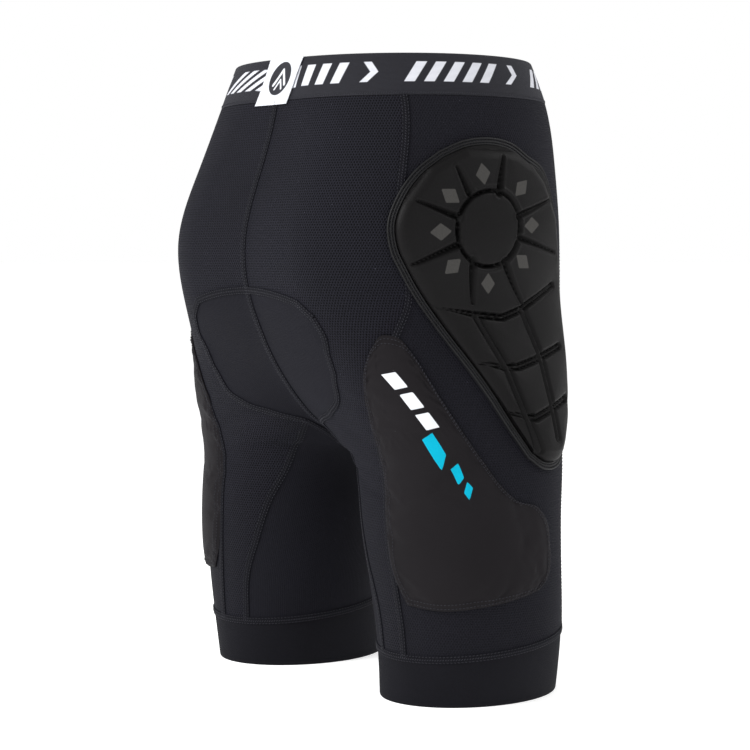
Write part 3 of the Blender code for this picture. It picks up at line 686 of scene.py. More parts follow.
def cloth_finish(name, dark, light, roughness=0.75, pitch=0.0017, sheen=0.02,
                 holes=0.0, depth=0.00025):
    """Knitted cloth; holes is how far its eyelets are open, from 0, none, to 1, and how dark their painted
    shade is.
    """
    material, tree, shader, where, flat = new_material(name, roughness, sheen, specular=0.08)
    mottle = place_group(tree, MOTTLE, {"Place": where})
    knit = place_group(tree, KNIT, {"Place": flat, "Pitch": pitch})
    tone = calc(tree, "MULTIPLY_ADD", mottle["Fine"], 0.6, calc(tree, "MULTIPLY", mottle["Broad"], 0.7))
    # Painted shade: darker along the low lines between the knit's columns.
    tone = calc(tree, "SUBTRACT", tone, calc(tree, "MULTIPLY", knit["Line"], 0.20))
    colour = blend_colour(tree, tone, dark, light)
    colour = blend_colour(tree, mottle["Lint"], colour, tuple(min(1.0, c * 3.0 + 0.01) for c in light))
    height = knit["Height"]
    if holes:
        eyelets = place_group(tree, EYELETS, {"Place": flat, "Radius": 0.16 + 0.10 * holes})
        # Painted shade: the eyelet holes are coloured near black, as shade seen through them.
        shade = calc(tree, "MULTIPLY", eyelets["Hole"], holes)
        colour = blend_colour(tree, shade, colour, (0.0008, 0.0008, 0.0010))
        height = calc(tree, "MULTIPLY_ADD", eyelets["Height"], 1.6, calc(tree, "MULTIPLY", height, 0.4))
    tree.links.new(colour, shader.inputs["Base Color"])
    rough = calc(tree, "MULTIPLY_ADD", mottle["Broad"], 0.18, roughness - 0.09)
    tree.links.new(rough, shader.inputs["Roughness"])
    bumped(tree, shader, height, depth)
    return material


stretch_knit = cloth_finish("stretch_knit", (0.0022, 0.0022, 0.0034), (0.0090, 0.0088, 0.0130))
side_knit = cloth_finish("side_knit", (0.0024, 0.0024, 0.0036), (0.0105, 0.0103, 0.0150),
                         holes=0.55, depth=0.0003)
eyelet_mesh = cloth_finish("eyelet_mesh", (0.0030, 0.0030, 0.0046), (0.0150, 0.0148, 0.0215),
                           holes=1.0, depth=0.0004)
hem_knit = cloth_finish("hem_knit", (0.0020, 0.0020, 0.0030), (0.0075, 0.0074, 0.0105), pitch=0.0008)
lining_knit = cloth_finish("lining_knit", (0.005, 0.005, 0.006), (0.014, 0.014, 0.017), pitch=0.0007)
chamois_knit = cloth_finish("chamois_knit", (0.012, 0.012, 0.016), (0.035, 0.035, 0.045), pitch=0.0013)


def thread_finish(name, dark, light):
    """Twisted sewing thread."""
    material, tree, shader, where, flat = new_material(name, 0.55, sheen=0.03)
    mottle = place_group(tree, MOTTLE, {"Place": where, "Scale": 40.0})
    tree.links.new(blend_colour(tree, mottle["Fine"], dark, light), shader.inputs["Base Color"])
    bumped(tree, shader, mottle["Fine"], 0.0001)
    return material


black_thread = thread_finish("black_thread", (0.006, 0.006, 0.009), (0.030, 0.030, 0.040))
white_thread = thread_finish("white_thread", (0.45, 0.47, 0.52), (0.80, 0.82, 0.86))

# %% [markdown]
# ## Prints that stay sharp
# A print has a crisp edge, but a mesh only has a point every millimetre. The trick is to store
# at each point its **signed distance** to the print's edge. Distance varies evenly, so the shader
# can find where it crosses zero between the points, and the edge comes out sharp.

# %% Distances in a flat pattern
def segment_distance(p, start, end):
    """Distance from points to a straight line, and how far along it they are, from 0 to 1."""
    start, run = np.asarray(start, float), np.subtract(end, start).astype(float)
    t = np.clip(((p - start) @ run) / (run @ run), 0, 1)
    return np.linalg.norm(p - start - t[..., None] * run, axis=-1), t


def polygon_distance(p, corners):
    """Signed distance from points to a closed outline, negative inside."""
    inside = np.zeros(p.shape[:-1], bool)
    nearest = np.full(p.shape[:-1], np.inf)
    for a, b in zip(corners, corners[1:] + corners[:1]):
        nearest = np.minimum(nearest, segment_distance(p, a, b)[0])
        crosses = (a[1] > p[..., 1]) != (b[1] > p[..., 1])
        rise = b[1] - a[1] if b[1] != a[1] else 1e-9
        inside ^= crosses & (p[..., 0] < (b[0] - a[0]) * (p[..., 1] - a[1]) / rise + a[0])
    return np.where(inside, -nearest, nearest)


def patch_distance(p, patches):
    """Signed distance to the nearest of several outlines."""
    return np.minimum.reduce([polygon_distance(p, patch) for patch in patches])


def patch_mask(tree, name, soft=0.15):
    """Mask of a print whose signed distance is stored under this name, in millimetres."""
    field = add(tree, "ShaderNodeAttribute", attribute_name=name, attribute_type="GEOMETRY")
    return add(tree, "ShaderNodeMapRange", {
        "Value": field.outputs["Fac"], "From Min": -soft, "From Max": soft,
        "To Min": 1.0, "To Max": 0.0}).outputs[0]


# %% [markdown]
# The hip pad is moulded foam with a thin skin. It is darker and smoother than the cloth, its
# high places are slightly polished, and matt grey patches are printed on it. Its grooves are
# painted darker the deeper they are cut, as painted shade. The thigh pad has a smooth warm-grey
# laminated cover with white and cyan marks.

# %% Pad finishes
def hip_foam_finish():
    """Moulded foam with printed patches, and painted shade in its grooves."""
    material, tree, shader, where, flat = new_material("hip_foam", 0.5, specular=0.10)
    mottle = place_group(tree, MOTTLE, {"Place": where, "Scale": 14.0})
    grain = place_group(tree, GRAIN, {"Place": where, "Scale": 1100.0})
    base = blend_colour(tree, mottle["Broad"], (0.0022, 0.0020, 0.0022), (0.0062, 0.0057, 0.0060))
    ink = blend_colour(tree, mottle["Fine"], (0.038, 0.0365, 0.035), (0.058, 0.056, 0.053))
    print_mask = patch_mask(tree, "print")
    colour = blend_colour(tree, print_mask, base, ink)
    # Painted shade: the foam's colour goes towards black the deeper the grooves are cut.
    groove_shade = add(tree, "ShaderNodeAttribute", attribute_name="groove_shade", attribute_type="GEOMETRY")
    colour = blend_colour(tree, groove_shade.outputs["Fac"], colour, (0.0008, 0.0008, 0.0008))
    tree.links.new(colour, shader.inputs["Base Color"])
    rough = calc(tree, "MULTIPLY_ADD", mottle["Broad"], 0.16, 0.40)
    rough = calc(tree, "MULTIPLY_ADD", print_mask, 0.18, rough)
    tree.links.new(rough, shader.inputs["Roughness"])
    bumped(tree, shader, grain["Height"], 0.00022)
    return material


def pad_cover_finish():
    """Smooth cover laminated to thin foam, with white and cyan marks."""
    material, tree, shader, where, flat = new_material("pad_cover", 0.65, sheen=0.015, specular=0.08)
    mottle = place_group(tree, MOTTLE, {"Place": where, "Scale": 8.0})
    knit = place_group(tree, KNIT, {"Place": flat, "Pitch": 0.0006})
    colour = blend_colour(tree, mottle["Broad"], (0.0056, 0.0048, 0.0056), (0.0140, 0.0122, 0.0140))
    colour = blend_colour(tree, mottle["Lint"], colour, (0.06, 0.06, 0.065))
    white = patch_mask(tree, "white")
    cyan = patch_mask(tree, "cyan")
    colour = blend_colour(tree, white, colour, (0.74, 0.76, 0.80))
    colour = blend_colour(tree, cyan, colour, (0.0, 0.37, 0.53))
    tree.links.new(colour, shader.inputs["Base Color"])
    height = calc(tree, "MULTIPLY_ADD", calc(tree, "MAXIMUM", white, cyan), 1.2, knit["Height"])
    bumped(tree, shader, height, 0.00008)
    return material


def plain_finish(name, dark, light, roughness, scale=14.0, depth=0.00015, sheen=0.0, coat=0.0):
    """One-colour finish with mottle and a fine grain."""
    material, tree, shader, where, flat = new_material(name, roughness, sheen, coat)
    mottle = place_group(tree, MOTTLE, {"Place": where, "Scale": scale})
    grain = place_group(tree, GRAIN, {"Place": where, "Scale": 1300.0})
    tree.links.new(blend_colour(tree, mottle["Broad"], dark, light), shader.inputs["Base Color"])
    rough = calc(tree, "MULTIPLY_ADD", mottle["Broad"], 0.2, roughness - 0.1)
    tree.links.new(rough, shader.inputs["Roughness"])
    bumped(tree, shader, grain["Height"], depth)
    return material


hip_foam = hip_foam_finish()
pad_cover = pad_cover_finish()
corded_trim = plain_finish("corded_trim", (0.0022, 0.0022, 0.0026), (0.0075, 0.0074, 0.0085), 0.5)
grip_silicone = plain_finish("grip_silicone", (0.020, 0.020, 0.023), (0.045, 0.045, 0.050), 0.32, coat=0.2)
white_foam = plain_finish("white_foam", (0.42, 0.43, 0.46), (0.62, 0.63, 0.66), 0.85, depth=0.0004)


# %% [markdown]
# The waistband is woven elastic: many fine ribs run round it, and a pale motif is woven in. The
# colour of both is painted lighter on the ribs' tops and darker between them, as shade. The
# motif here is plain slanted bars in groups, with a chevron between them. It reads the band's
# own flat pattern: metres round the waist, and metres down from its top edge.

# %% Elastic and labels
BAND_MIDDLE = -WAISTBAND_HEIGHT / 2
MOTIF_HEIGHT = 0.0185


def band_mask(tree, value, middle, half, soft=0.0002):
    """1 within half of the middle, 0 beyond, with a soft edge."""
    off = calc(tree, "ABSOLUTE", calc(tree, "SUBTRACT", value, middle))
    return add(tree, "ShaderNodeMapRange", {
        "Value": off, "From Min": half - soft, "From Max": half + soft,
        "To Min": 1.0, "To Max": 0.0}).outputs[0]


def elastic_finish():
    """Ribbed elastic with a woven motif of slanted bars and chevrons, and painted shade between the ribs.
    """
    material, tree, shader, where, flat = new_material("woven_elastic", 0.7, sheen=0.05)
    parts = add(tree, "ShaderNodeSeparateXYZ", {0: flat}).outputs
    u, v = parts["X"], parts["Y"]
    mottle = place_group(tree, MOTTLE, {"Place": where, "Scale": 10.0})
    rib = calc(tree, "ABSOLUTE", calc(tree, "SINE", calc(tree, "MULTIPLY", v, math.pi / 0.0011)))
    pick = calc(tree, "SINE", calc(tree, "MULTIPLY", u, 2 * math.pi / 0.0009))
    woven = calc(tree, "MULTIPLY_ADD", pick, 0.2, rib)
    fine = calc(tree, "MULTIPLY", mottle["Fine"], 0.5)
    # Painted shade: the base colour follows the rib height, lighter on top, darker between ribs.
    base = blend_colour(tree, calc(tree, "MULTIPLY_ADD", rib, 0.5, fine),
                        (0.0024, 0.0024, 0.0042), (0.0125, 0.0122, 0.0185))
    rise = calc(tree, "SUBTRACT", v, BAND_MIDDLE)
    leaning = calc(tree, "MULTIPLY_ADD", rise, -0.32, u)
    cell = calc(tree, "FRACT", calc(tree, "DIVIDE", leaning, 0.0160))
    bars = band_mask(tree, cell, 0.5, 0.27, 0.02)
    group = calc(tree, "FRACT", calc(tree, "DIVIDE", leaning, 0.1280))
    bars = calc(tree, "MULTIPLY", bars, band_mask(tree, group, 0.3125, 0.3126, 0.001))
    folded = calc(tree, "MULTIPLY_ADD", calc(tree, "ABSOLUTE", rise), 0.8, u)
    point = calc(tree, "FRACT", calc(tree, "DIVIDE", folded, 0.1280))
    chevron = band_mask(tree, point, 0.80, 0.026, 0.003)
    tall = band_mask(tree, rise, 0.0, MOTIF_HEIGHT / 2)
    motif = calc(tree, "MULTIPLY", calc(tree, "MAXIMUM", bars, chevron), tall)
    # Painted shade: the pale motif is also darker between the ribs.
    pale = blend_colour(tree, rib, (0.42, 0.43, 0.48), (0.78, 0.79, 0.84))
    tree.links.new(blend_colour(tree, motif, base, pale), shader.inputs["Base Color"])
    bumped(tree, shader, woven, 0.00028)
    return material


def label_finish():
    """Satin label with a dark oval and a pale peak in it, from a stored distance."""
    material, tree, shader, where, flat = new_material("satin_label", 0.5, sheen=0.1)
    parts = add(tree, "ShaderNodeSeparateXYZ", {0: flat}).outputs
    mottle = place_group(tree, MOTTLE, {"Place": where, "Scale": 30.0})
    weave = calc(tree, "SINE", calc(tree, "MULTIPLY", parts["Y"], 2 * math.pi / 0.0007))
    base = blend_colour(tree, mottle["Fine"], (0.68, 0.70, 0.76), (0.84, 0.86, 0.90))
    colour = blend_colour(tree, patch_mask(tree, "mark"), base, (0.012, 0.012, 0.017))
    tree.links.new(colour, shader.inputs["Base Color"])
    bumped(tree, shader, weave, 0.00012)
    return material


woven_elastic = elastic_finish()
satin_label = label_finish()
print("materials:", len(bpy.data.materials))

# %% [markdown]
# ## Declaring a piece
# Each finished piece is attached to the body it moves with, and the plain node it stands for is
# hidden. The size of its flat cut can be worked out from the piece itself: the longest row, the
# longest column and the area of the cloth between its edges.

# %% Declaring helpers
BODY = "shorts"


def cloth_size(points):
    """Width, length and area of a grid of points laid flat; the length is square to its rows."""
    across = np.diff(points, axis=1)
    down = np.diff(points, axis=0)
    cells = np.linalg.norm(np.cross(across[:-1], down[:, :-1]), axis=2)
    cells = (cells + np.linalg.norm(np.cross(across[1:], down[:, 1:]), axis=2)) / 2
    steps = np.linalg.norm(across[:-1] + across[1:], axis=2) / 2
    width = np.linalg.norm(across, axis=2).sum(axis=1).max()
    length = (cells / np.maximum(steps, 1e-9)).sum(axis=0).max()
    return float(width), float(length), float(cells.sum())


def declare(piece, node, body=BODY):
    """Attaches a piece to its body and hides the plain node it stands for."""
    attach(piece, body)
    if node:
        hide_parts(node)
    return piece


def declare_sheet(points):
    """Flat size of a cloth piece, from its own grid."""
    width, length, area = cloth_size(points)
    return width, length, area


# %% [markdown]
# ## Panels
# Back, side, front and inner panels, the gusset and the pouch. Each has one millimetre of
# thickness. Their edges almost touch, as in a flat seam, where the edges are butted together and
# not folded under.

# %% Cloth panels
CLOTH = 0.0010
BUTT_GAP = 0.0006


def cloth_panel(name, points, material, node, uv=None):
    """Panel on a grid of points: its outer face is the body form."""
    points = drawn_in(points, BUTT_GAP)
    piece = slab(name, points, -CLOTH, 0.0, material, uv=uv)
    declare(piece, node)
    width, length, area = declare_sheet(points)
    print(f"{name}: {width * 1000:.0f} x {length * 1000:.0f} mm, {area * 1e4:.0f} cm2")


def laid(side, pattern):
    """Points of a pattern on the form."""
    return form(side, pattern[..., 0], pattern[..., 1])


for side, word in SIDES:
    back, outer = back_panel_pattern(), side_panel_pattern()
    cloth_panel(f"back_eyelet_panel_{word}", laid(side, back), eyelet_mesh,
                f"back_panel_{word}", tape_uv(side, back))
    cloth_panel(f"side_knit_panel_{word}", laid(side, outer), side_knit,
                f"side_panel_{word}", tape_uv(side, outer))
    cloth_panel(f"front_knit_panel_{word}", laid(side, front_panel_pattern()), stretch_knit,
                f"front_panel_{word}")
    cloth_panel(f"inner_thigh_knit_panel_{word}", laid(side, inner_panel_pattern()), stretch_knit,
                f"inner_thigh_panel_{word}")
    cloth_panel(f"saddle_gusset_{word}", laid(side, gusset_pattern()), stretch_knit,
                f"seat_gusset_{word}")
cloth_panel("front_pouch_panel", across_middle(laid(RIGHT, pouch_pattern())), stretch_knit,
            "front_pouch")

# %% [markdown]
# ## Waistband and hems
# The waistband is two layers of elastic with rounded edges. The hem is the cloth turned up and
# stitched, so its edges are round too, and a silicone strip inside grips the leg.

# %% Rings with rounded edges
def rounded(rows, columns, inner, outer, edge_rows=3):
    """Faces of a band that come together in a half round at its first and last rows."""
    middle = (inner + outer) / 2
    from_edge = np.minimum(np.arange(rows), np.arange(rows)[::-1])
    spread = arch(np.clip((from_edge + 0.35) / (edge_rows + 0.35), 0, 1))[:, None]
    return (np.broadcast_to(middle + (inner - middle) * spread, (rows, columns)),
            np.broadcast_to(middle + (outer - middle) * spread, (rows, columns)))


def upright(normals):
    """The same normals, turned level."""
    flat = normals * (1, 1, 0)
    return flat / np.linalg.norm(flat, axis=2, keepdims=True)


def eased_rows(count, ends=3, end_share=0.012):
    """Row positions from 0 to 1, close together near both ends."""
    small = np.linspace(0, end_share * ends, ends + 1)
    return np.concatenate((small[:-1], np.linspace(small[-1], 1 - small[-1], count), 1 - small[:-1][::-1]))


def waist_ring(levels, segments=220):
    """Rings of points round the waist, one for each level."""
    rows = []
    for level in levels:
        reach = float(centre_angle(level))
        angles = np.linspace(reach, -reach, segments + 1)
        rows.append(np.concatenate((form(RIGHT, angles, level), form(LEFT, angles[::-1], level)[1:])))
    return np.array(rows)


BAND_CLOTH, HEM_CLOTH = 0.0020, 0.0018
levels = 2.0 - eased_rows(14) * (2.0 - BAND_LEVEL)
band_points = waist_ring(levels)
inner, outer = rounded(*band_points.shape[:2], -BAND_CLOTH, 0.0002)
waistband = slab("elastic_waistband", band_points, inner, outer, woven_elastic, ring=True,
                 normals=upright(grid_normals(band_points, True)))
declare(waistband, "waistband")
declare_sheet(band_points)


def leg_rings(side, tops, segments=200):
    """Rings of points round a leg; tops holds a share of the hem's height or a height in metres."""
    angles = np.linspace(0, 360, segments + 1)
    return np.stack([form(side, angles, top(angles)) for top in tops])


for side, word in SIDES:
    shares = 1 - eased_rows(16)
    points = leg_rings(side, [lambda a, k=k: k * hem_level(a) for k in shares])
    inner, outer = rounded(*points.shape[:2], -HEM_CLOTH, 0.0001)
    hem = slab(f"turned_hem_{word}", points, inner, outer, hem_knit, ring=True,
               normals=upright(grid_normals(points, True)))
    declare(hem, f"hem_band_{word}")
    declare_sheet(points)

# %% [markdown]
# The grip strip is drawn as a wave of silicone on a thin film: thick along the wave, thin
# between.

# %% Grip strips
GRIP_TOP = -HEM_CLOTH - 0.0004
for side, word in SIDES:
    heights = np.linspace(0.030, 0.008, 20)
    points = leg_rings(side, [lambda a, z=z: np.full(a.shape, z / INSEAM) for z in heights], 260)
    around = pattern_uv(points, True)[..., 0]
    wave = 0.019 + 0.007 * np.sin(around * 2 * math.pi / 0.022)
    line = np.exp(-((heights[:, None] - wave) / 0.0022) ** 2)
    grip = slab(f"grip_strip_{word}", points, GRIP_TOP - 0.0005 - 0.0009 * line, GRIP_TOP, grip_silicone,
                ring=True, normals=upright(grid_normals(points, True)))
    declare(grip, f"hem_gripper_{word}")

# %% [markdown]
# ## Pads laid on the form
# A pad is cut flat, so its shape is a flat pattern: metres towards the back and metres up from
# the pad's own middle. To lay it on the body, the form is measured with a tape: at each height,
# how far round is each angle. A table of that turns flat places into angles.

# %% Flat pads on the form
PADS = {"hip": (11.0, 1.563), "thigh": (45.0, 0.878)}


def tape_table(side, angle, level):
    """Angles for every millimetre round (columns) and up (rows) from the pad's middle."""
    ups = np.arange(-0.210, 0.1301, 0.001)
    rounds = np.arange(-0.125, 0.1101, 0.001)
    angles = np.linspace(angle - 85, angle + 85, 341)
    table = np.zeros((len(ups), len(rounds)))
    for k, up in enumerate(ups):
        ring = form(side, angles, float(level_at(height(level) + up)))
        travel = np.concatenate(([0.0], np.cumsum(np.linalg.norm(np.diff(ring, axis=0), axis=1))))
        table[k] = np.interp(rounds, travel - np.interp(angle, angles, travel), angles)
    return ups, rounds, table


def surface(side, angle, level):
    """Point and outward normal on the form."""
    point = form(side, angle, level)
    round_it = form(side, angle + 0.2, level) - form(side, angle - 0.2, level)
    up = form(side, angle, level + 0.002) - form(side, angle, level - 0.002)
    normal = np.cross(round_it, up)
    normal /= np.linalg.norm(normal, axis=-1, keepdims=True)
    outwards = np.stack((side * np.cos(np.radians(angle)), np.sin(np.radians(angle)),
                         np.zeros(np.shape(angle))), axis=-1)
    facing = np.sign(np.sum(normal * outwards, axis=-1, keepdims=True))
    return point, normal * np.where(facing == 0, 1, facing)


def lay_flat(side, pad, flat):
    """Points and normals of a flat pattern (..., 2) laid on the form."""
    _, level = PADS[pad]
    ups, rounds, table = TAPES[side, pad]
    turned = look_up(table, (flat[..., 1] - ups[0]) / 0.001, (flat[..., 0] - rounds[0]) / 0.001)
    return surface(side, turned, level_at(height(level) + flat[..., 1]))


TAPES = {(side, pad): tape_table(side, *PADS[pad]) for side, _ in SIDES for pad in PADS}

# %% [markdown]
# ## Hip pad outline, lining and corded edge
# The pad's outline is four smooth edges. The lining under it runs to the outline, and three thin
# cords are stitched down along it, with a valley between them and the foam.

# %% Hip pad outline
HIP_PAD = {
    "top": [(0.042, 0.061), (0.022, 0.070), (0.0, 0.073), (-0.022, 0.070), (-0.044, 0.060)],
    "back": [(0.042, 0.061), (0.060, 0.046), (0.075, 0.024), (0.082, 0.002), (0.079, -0.018),
             (0.070, -0.036), (0.044, -0.080), (0.012, -0.134), (-0.004, -0.168), (-0.014, -0.186)],
    "front": [(-0.044, 0.060), (-0.068, 0.050), (-0.086, 0.028), (-0.097, 0.0), (-0.104, -0.036),
              (-0.107, -0.080), (-0.103, -0.120), (-0.092, -0.155), (-0.070, -0.182)],
    "bottom": [(-0.014, -0.186), (-0.027, -0.195), (-0.042, -0.197), (-0.057, -0.193),
               (-0.070, -0.182)],
}
THIGH_PAD = {
    "top": [(0.028, 0.112), (0.014, 0.123), (0.002, 0.120), (-0.004, 0.105)],
    "back": [(0.028, 0.112), (0.042, 0.094), (0.052, 0.072), (0.060, 0.030), (0.061, -0.030),
             (0.057, -0.074), (0.046, -0.096)],
    "front": [(-0.004, 0.105), (-0.013, 0.063), (-0.024, 0.028), (-0.036, 0.004), (-0.052, -0.011),
              (-0.074, -0.018), (-0.085, -0.030), (-0.088, -0.050), (-0.084, -0.072), (-0.070, -0.085)],
    "bottom": [(0.046, -0.096), (0.017, -0.099), (-0.014, -0.096), (-0.048, -0.090),
               (-0.070, -0.085)],
}
LINING_TOP, PAD_BASE = 0.0016, 0.0024


def ring_of(grid):
    """The border of a grid as one closed run of points, the first not repeated."""
    return np.concatenate((grid[0, :-1], grid[:-1, -1], grid[-1, :0:-1], grid[:0:-1, 0]))


def step_in(ring, amount):
    """A closed run of flat points, moved square to itself towards its inside."""
    run = np.roll(ring, -1, axis=0) - np.roll(ring, 1, axis=0)
    normal = np.stack((-run[:, 1], run[:, 0]), axis=1) / np.hypot(*run.T)[:, None]
    if np.sum(normal * (ring.mean(axis=0) - ring)) < 0:
        normal = -normal
    return ring + normal * amount


def pad_grid(outline, rows, columns, inset=0.0):
    """Flat grid inside a pad's four edges, drawn in by inset."""
    grid = coons(along(outline["back"], rows), along(outline["front"], rows),
                 along(outline["top"], columns), along(outline["bottom"], columns))
    if inset == 0:
        return grid
    moved = step_in(ring_of(grid), inset)
    top, rest = moved[:columns + 1], moved[columns:]
    right, rest = rest[:rows + 1], rest[rows:]
    bottom = rest[:columns + 1][::-1]
    left = np.concatenate((moved[:1], rest[columns:][::-1]))
    return coons(left, right, top, bottom)


def edge_distance(flat, outline_ring):
    """Distance from flat points to a closed run of points."""
    closed = np.concatenate((outline_ring, outline_ring[:1]))
    nearest = np.full(flat.shape[:-1], np.inf)
    for a, b in zip(closed[:-1], closed[1:]):
        nearest = np.minimum(nearest, segment_distance(flat, a, b)[0])
    return nearest


for side, word in SIDES:
    flat = pad_grid(HIP_PAD, 90, 60)
    points, normals = lay_flat(side, "hip", flat)
    lining = slab(f"hip_lining_{word}", points, 0.0003, LINING_TOP - 0.0002, lining_knit, normals=normals)
    declare(lining, f"hip_pad_lining_{word}")
    declare_sheet(points)

# %% Corded edge
CORDS = (0.0010, 0.0034, 0.0056)
CORD_RADIUS = 0.0009


def cord_profile(across):
    """Height of the corded edge at a distance from the outline, in metres."""
    lift = np.zeros(across.shape)
    for middle in CORDS:
        lift = np.maximum(lift, np.sqrt(np.maximum(0, 1 - ((across - middle) / CORD_RADIUS) ** 2)))
    return 0.0002 + (0.0013 - 0.08 * across) * lift


for side, word in SIDES:
    border = ring_of(pad_grid(HIP_PAD, 220, 130))
    across = np.linspace(0.0, 0.0064, 33)
    rings = [step_in(border, inset) for inset in across]
    flat = np.array([np.concatenate((ring, ring[:1])) for ring in rings])
    points, normals = lay_flat(side, "hip", flat)
    turns = pattern_uv(points, True)[..., 0] * 2 * math.pi / 0.0024
    twist = 0.00012 * np.sin(turns + across[:, None] * 900)
    top = PAD_BASE + cord_profile(across)[:, None] + twist
    cords = slab(f"corded_edge_{word}", points, PAD_BASE - 0.0006, top, corded_trim, ring=True,
                 normals=normals)
    declare(cords, f"hip_pad_binding_{word}")
print("corded edge:", len(border), "points round")

# %% [markdown]
# ## The moulded hip pad
# In a mould, grooves let a stiff foam bend. The pad is a disc, a ring of eight segments round it
# and a tail down the thigh. The grooves are lines in the flat pattern, each with a width and a
# depth at both ends, and the height of the foam is worked out from the distance to them.

# %% Grooves of the hip pad
MM = 0.001
DISC = (-1.5, 0.0)
DISC_RADIUS = 28.0
SPOKES = [  # outer end, inner end
    ((29, 47), (18, 26)), ((-11, 57), (-8, 27)), ((-70, 24), (-29, 10)), ((-79, -18), (-32, -7)),
    ((-36, -60), (-17, -25)), ((13, -60), (13, -24)), ((63, -28), (26, -12)), ((60, 20), (27, 8)),
]
TAIL_ROWS = [
    [(46, -62), (10, -70), (-14, -73), (-36, -66), (-43, -62), (-78, -46)],
    [(22, -108), (-6, -114), (-20, -114), (-45, -108), (-52, -106), (-80, -99)],
    [(4, -147), (-16, -153), (-26, -155), (-44, -150), (-52, -148), (-78, -141)],
]
TAIL_COLUMNS = [
    [(10, -72), (-8, -114), (-17, -154), (-23, -180)],
    [(-37, -68), (-48, -106), (-50, -148), (-48, -172)],
]


CROWN_CORNERS = [(78, -4), (76, 8), (64, 25), (49, 46), (21, 62), (-22, 61), (-38, 57), (-63, 38),
                 (-84, 10), (-92, -20)]


def crown_edge(flat):
    """Distance inwards from the straight sides of the crown, in millimetres."""
    nearest = np.full(flat.shape[:-1], np.inf)
    for a, b in zip(CROWN_CORNERS, CROWN_CORNERS[1:]):
        run = np.subtract(b, a) / math.dist(a, b)
        nearest = np.minimum(nearest, (flat - a) @ np.array((-run[1], run[0])))
    return np.where(flat[..., 1] > -45, nearest, np.inf)


def valley(flat, start, end, width, depth):
    """Depth of a straight V channel; width and depth are (at start, at end), in millimetres."""
    distance, t = segment_distance(flat, start, end)
    wide = width[0] + (width[1] - width[0]) * t
    deep = depth[0] + (depth[1] - depth[0]) * t
    return deep * np.clip(1 - distance / wide, 0, 1) ** 1.35


def along_lines(flat, line):
    """Distance to a bent line, and how far along it from 0 to 1."""
    lengths = [math.dist(a, b) for a, b in zip(line, line[1:])]
    total, gone = sum(lengths), 0.0
    nearest, share = np.full(flat.shape[:-1], np.inf), np.zeros(flat.shape[:-1])
    for (a, b), length in zip(zip(line, line[1:]), lengths):
        distance, t = segment_distance(flat, a, b)
        closer = distance < nearest
        nearest = np.where(closer, distance, nearest)
        share = np.where(closer, (gone + t * length) / total, share)
        gone += length
    return nearest, share


def hip_relief(flat, edge):
    """Height of the moulded foam in millimetres, and a share from 0 to 1 of how deep in the grooves each
    place is, used as painted shade.
    """
    edge = np.maximum(np.minimum(edge, crown_edge(flat) + 1.0), 0)
    radius = np.hypot(flat[..., 0] - DISC[0], flat[..., 1] - DISC[1])
    shoulder = 2.6 + 4.6 * arch(np.clip(edge / 8.0, 0, 1))
    cut = np.zeros(edge.shape)
    near = np.minimum(edge, np.abs(radius - DISC_RADIUS))
    lip = np.zeros(edge.shape)
    for outer_end, inner_end in SPOKES:
        cut = np.maximum(cut, valley(flat, inner_end, outer_end, (4.0, 1.9), (4.0, 2.0)))
        distance, t = segment_distance(flat, inner_end, outer_end)
        near = np.minimum(near, distance)
        lip = np.maximum(lip, 0.45 * np.exp(-((distance - 4.6 + 2.2 * t) / 0.9) ** 2))
    ring = np.clip(1 - np.abs(radius - DISC_RADIUS - 1.2) / 2.4, 0, 1)
    cut = np.maximum(cut, 3.4 * ring ** 1.2)
    columns = np.minimum.reduce([along_lines(flat, line)[0] for line in TAIL_COLUMNS])
    open_slot = np.clip((columns - 0.8) / 1.6, 0, 1)
    for line in TAIL_ROWS:
        distance, share = along_lines(flat, line)
        taper = np.clip((share + 0.05) / 0.35, 0.25, 1)
        doubled = np.abs(distance - 1.9 * taper)
        slot = 3.4 * taper * np.clip(1 - doubled / (1.9 * taper), 0, 1) ** 1.1
        cut = np.maximum(cut, slot * (0.25 + 0.75 * open_slot))
        near = np.minimum(near, distance)
    cut = np.maximum(cut, 1.9 * np.exp(-((columns - 2.6) / 1.5) ** 2) * (flat[..., 1] < -66))
    near = np.where(flat[..., 1] < -66, np.minimum(near, columns), near)
    lip = np.maximum(lip, 0.5 * np.exp(-(columns / 1.0) ** 2) * (flat[..., 1] < -66))
    raised_ring = 0.7 * np.exp(-((radius - DISC_RADIUS - 4.6) / 1.3) ** 2) * (cut < 1.2)
    bulge = 1.3 * (1 - np.exp(-near / 7.0))
    disc_top = np.where(radius < DISC_RADIUS, 0.9 - 0.6 * bulge, 0.0)
    height_mm = shoulder + (bulge + disc_top + lip) * np.clip(edge / 8.0, 0, 1) - cut + raised_ring
    return np.maximum(height_mm, 1.0), np.clip(cut / 3.2, 0, 1) ** 1.5


# %% [markdown]
# The print is one plain diamond on each of the eight segments round the disc. The corners come
# from a formula, so that every diamond points at the disc.

# %% Printed patches
SEGMENT_TURNS = (34, 78, 132, 176, 216, 270, 318, 356)  # degrees, midway between the spokes
PATCH_REACH = 43.0  # millimetres from the disc's middle
PATCH_LONG, PATCH_WIDE = 9.0, 6.5  # half sizes


def diamond(turn):
    """Plain diamond in one segment of the crown, with its long way pointing at the disc."""
    x, y = math.cos(math.radians(turn)), math.sin(math.radians(turn))
    corners = ((PATCH_LONG, 0), (0, PATCH_WIDE), (-PATCH_LONG, 0), (0, -PATCH_WIDE))
    return [(DISC[0] + x * (PATCH_REACH + out) - y * wide, DISC[1] + y * (PATCH_REACH + out) + x * wide)
            for out, wide in corners]


PATCHES = [diamond(turn) for turn in SEGMENT_TURNS]


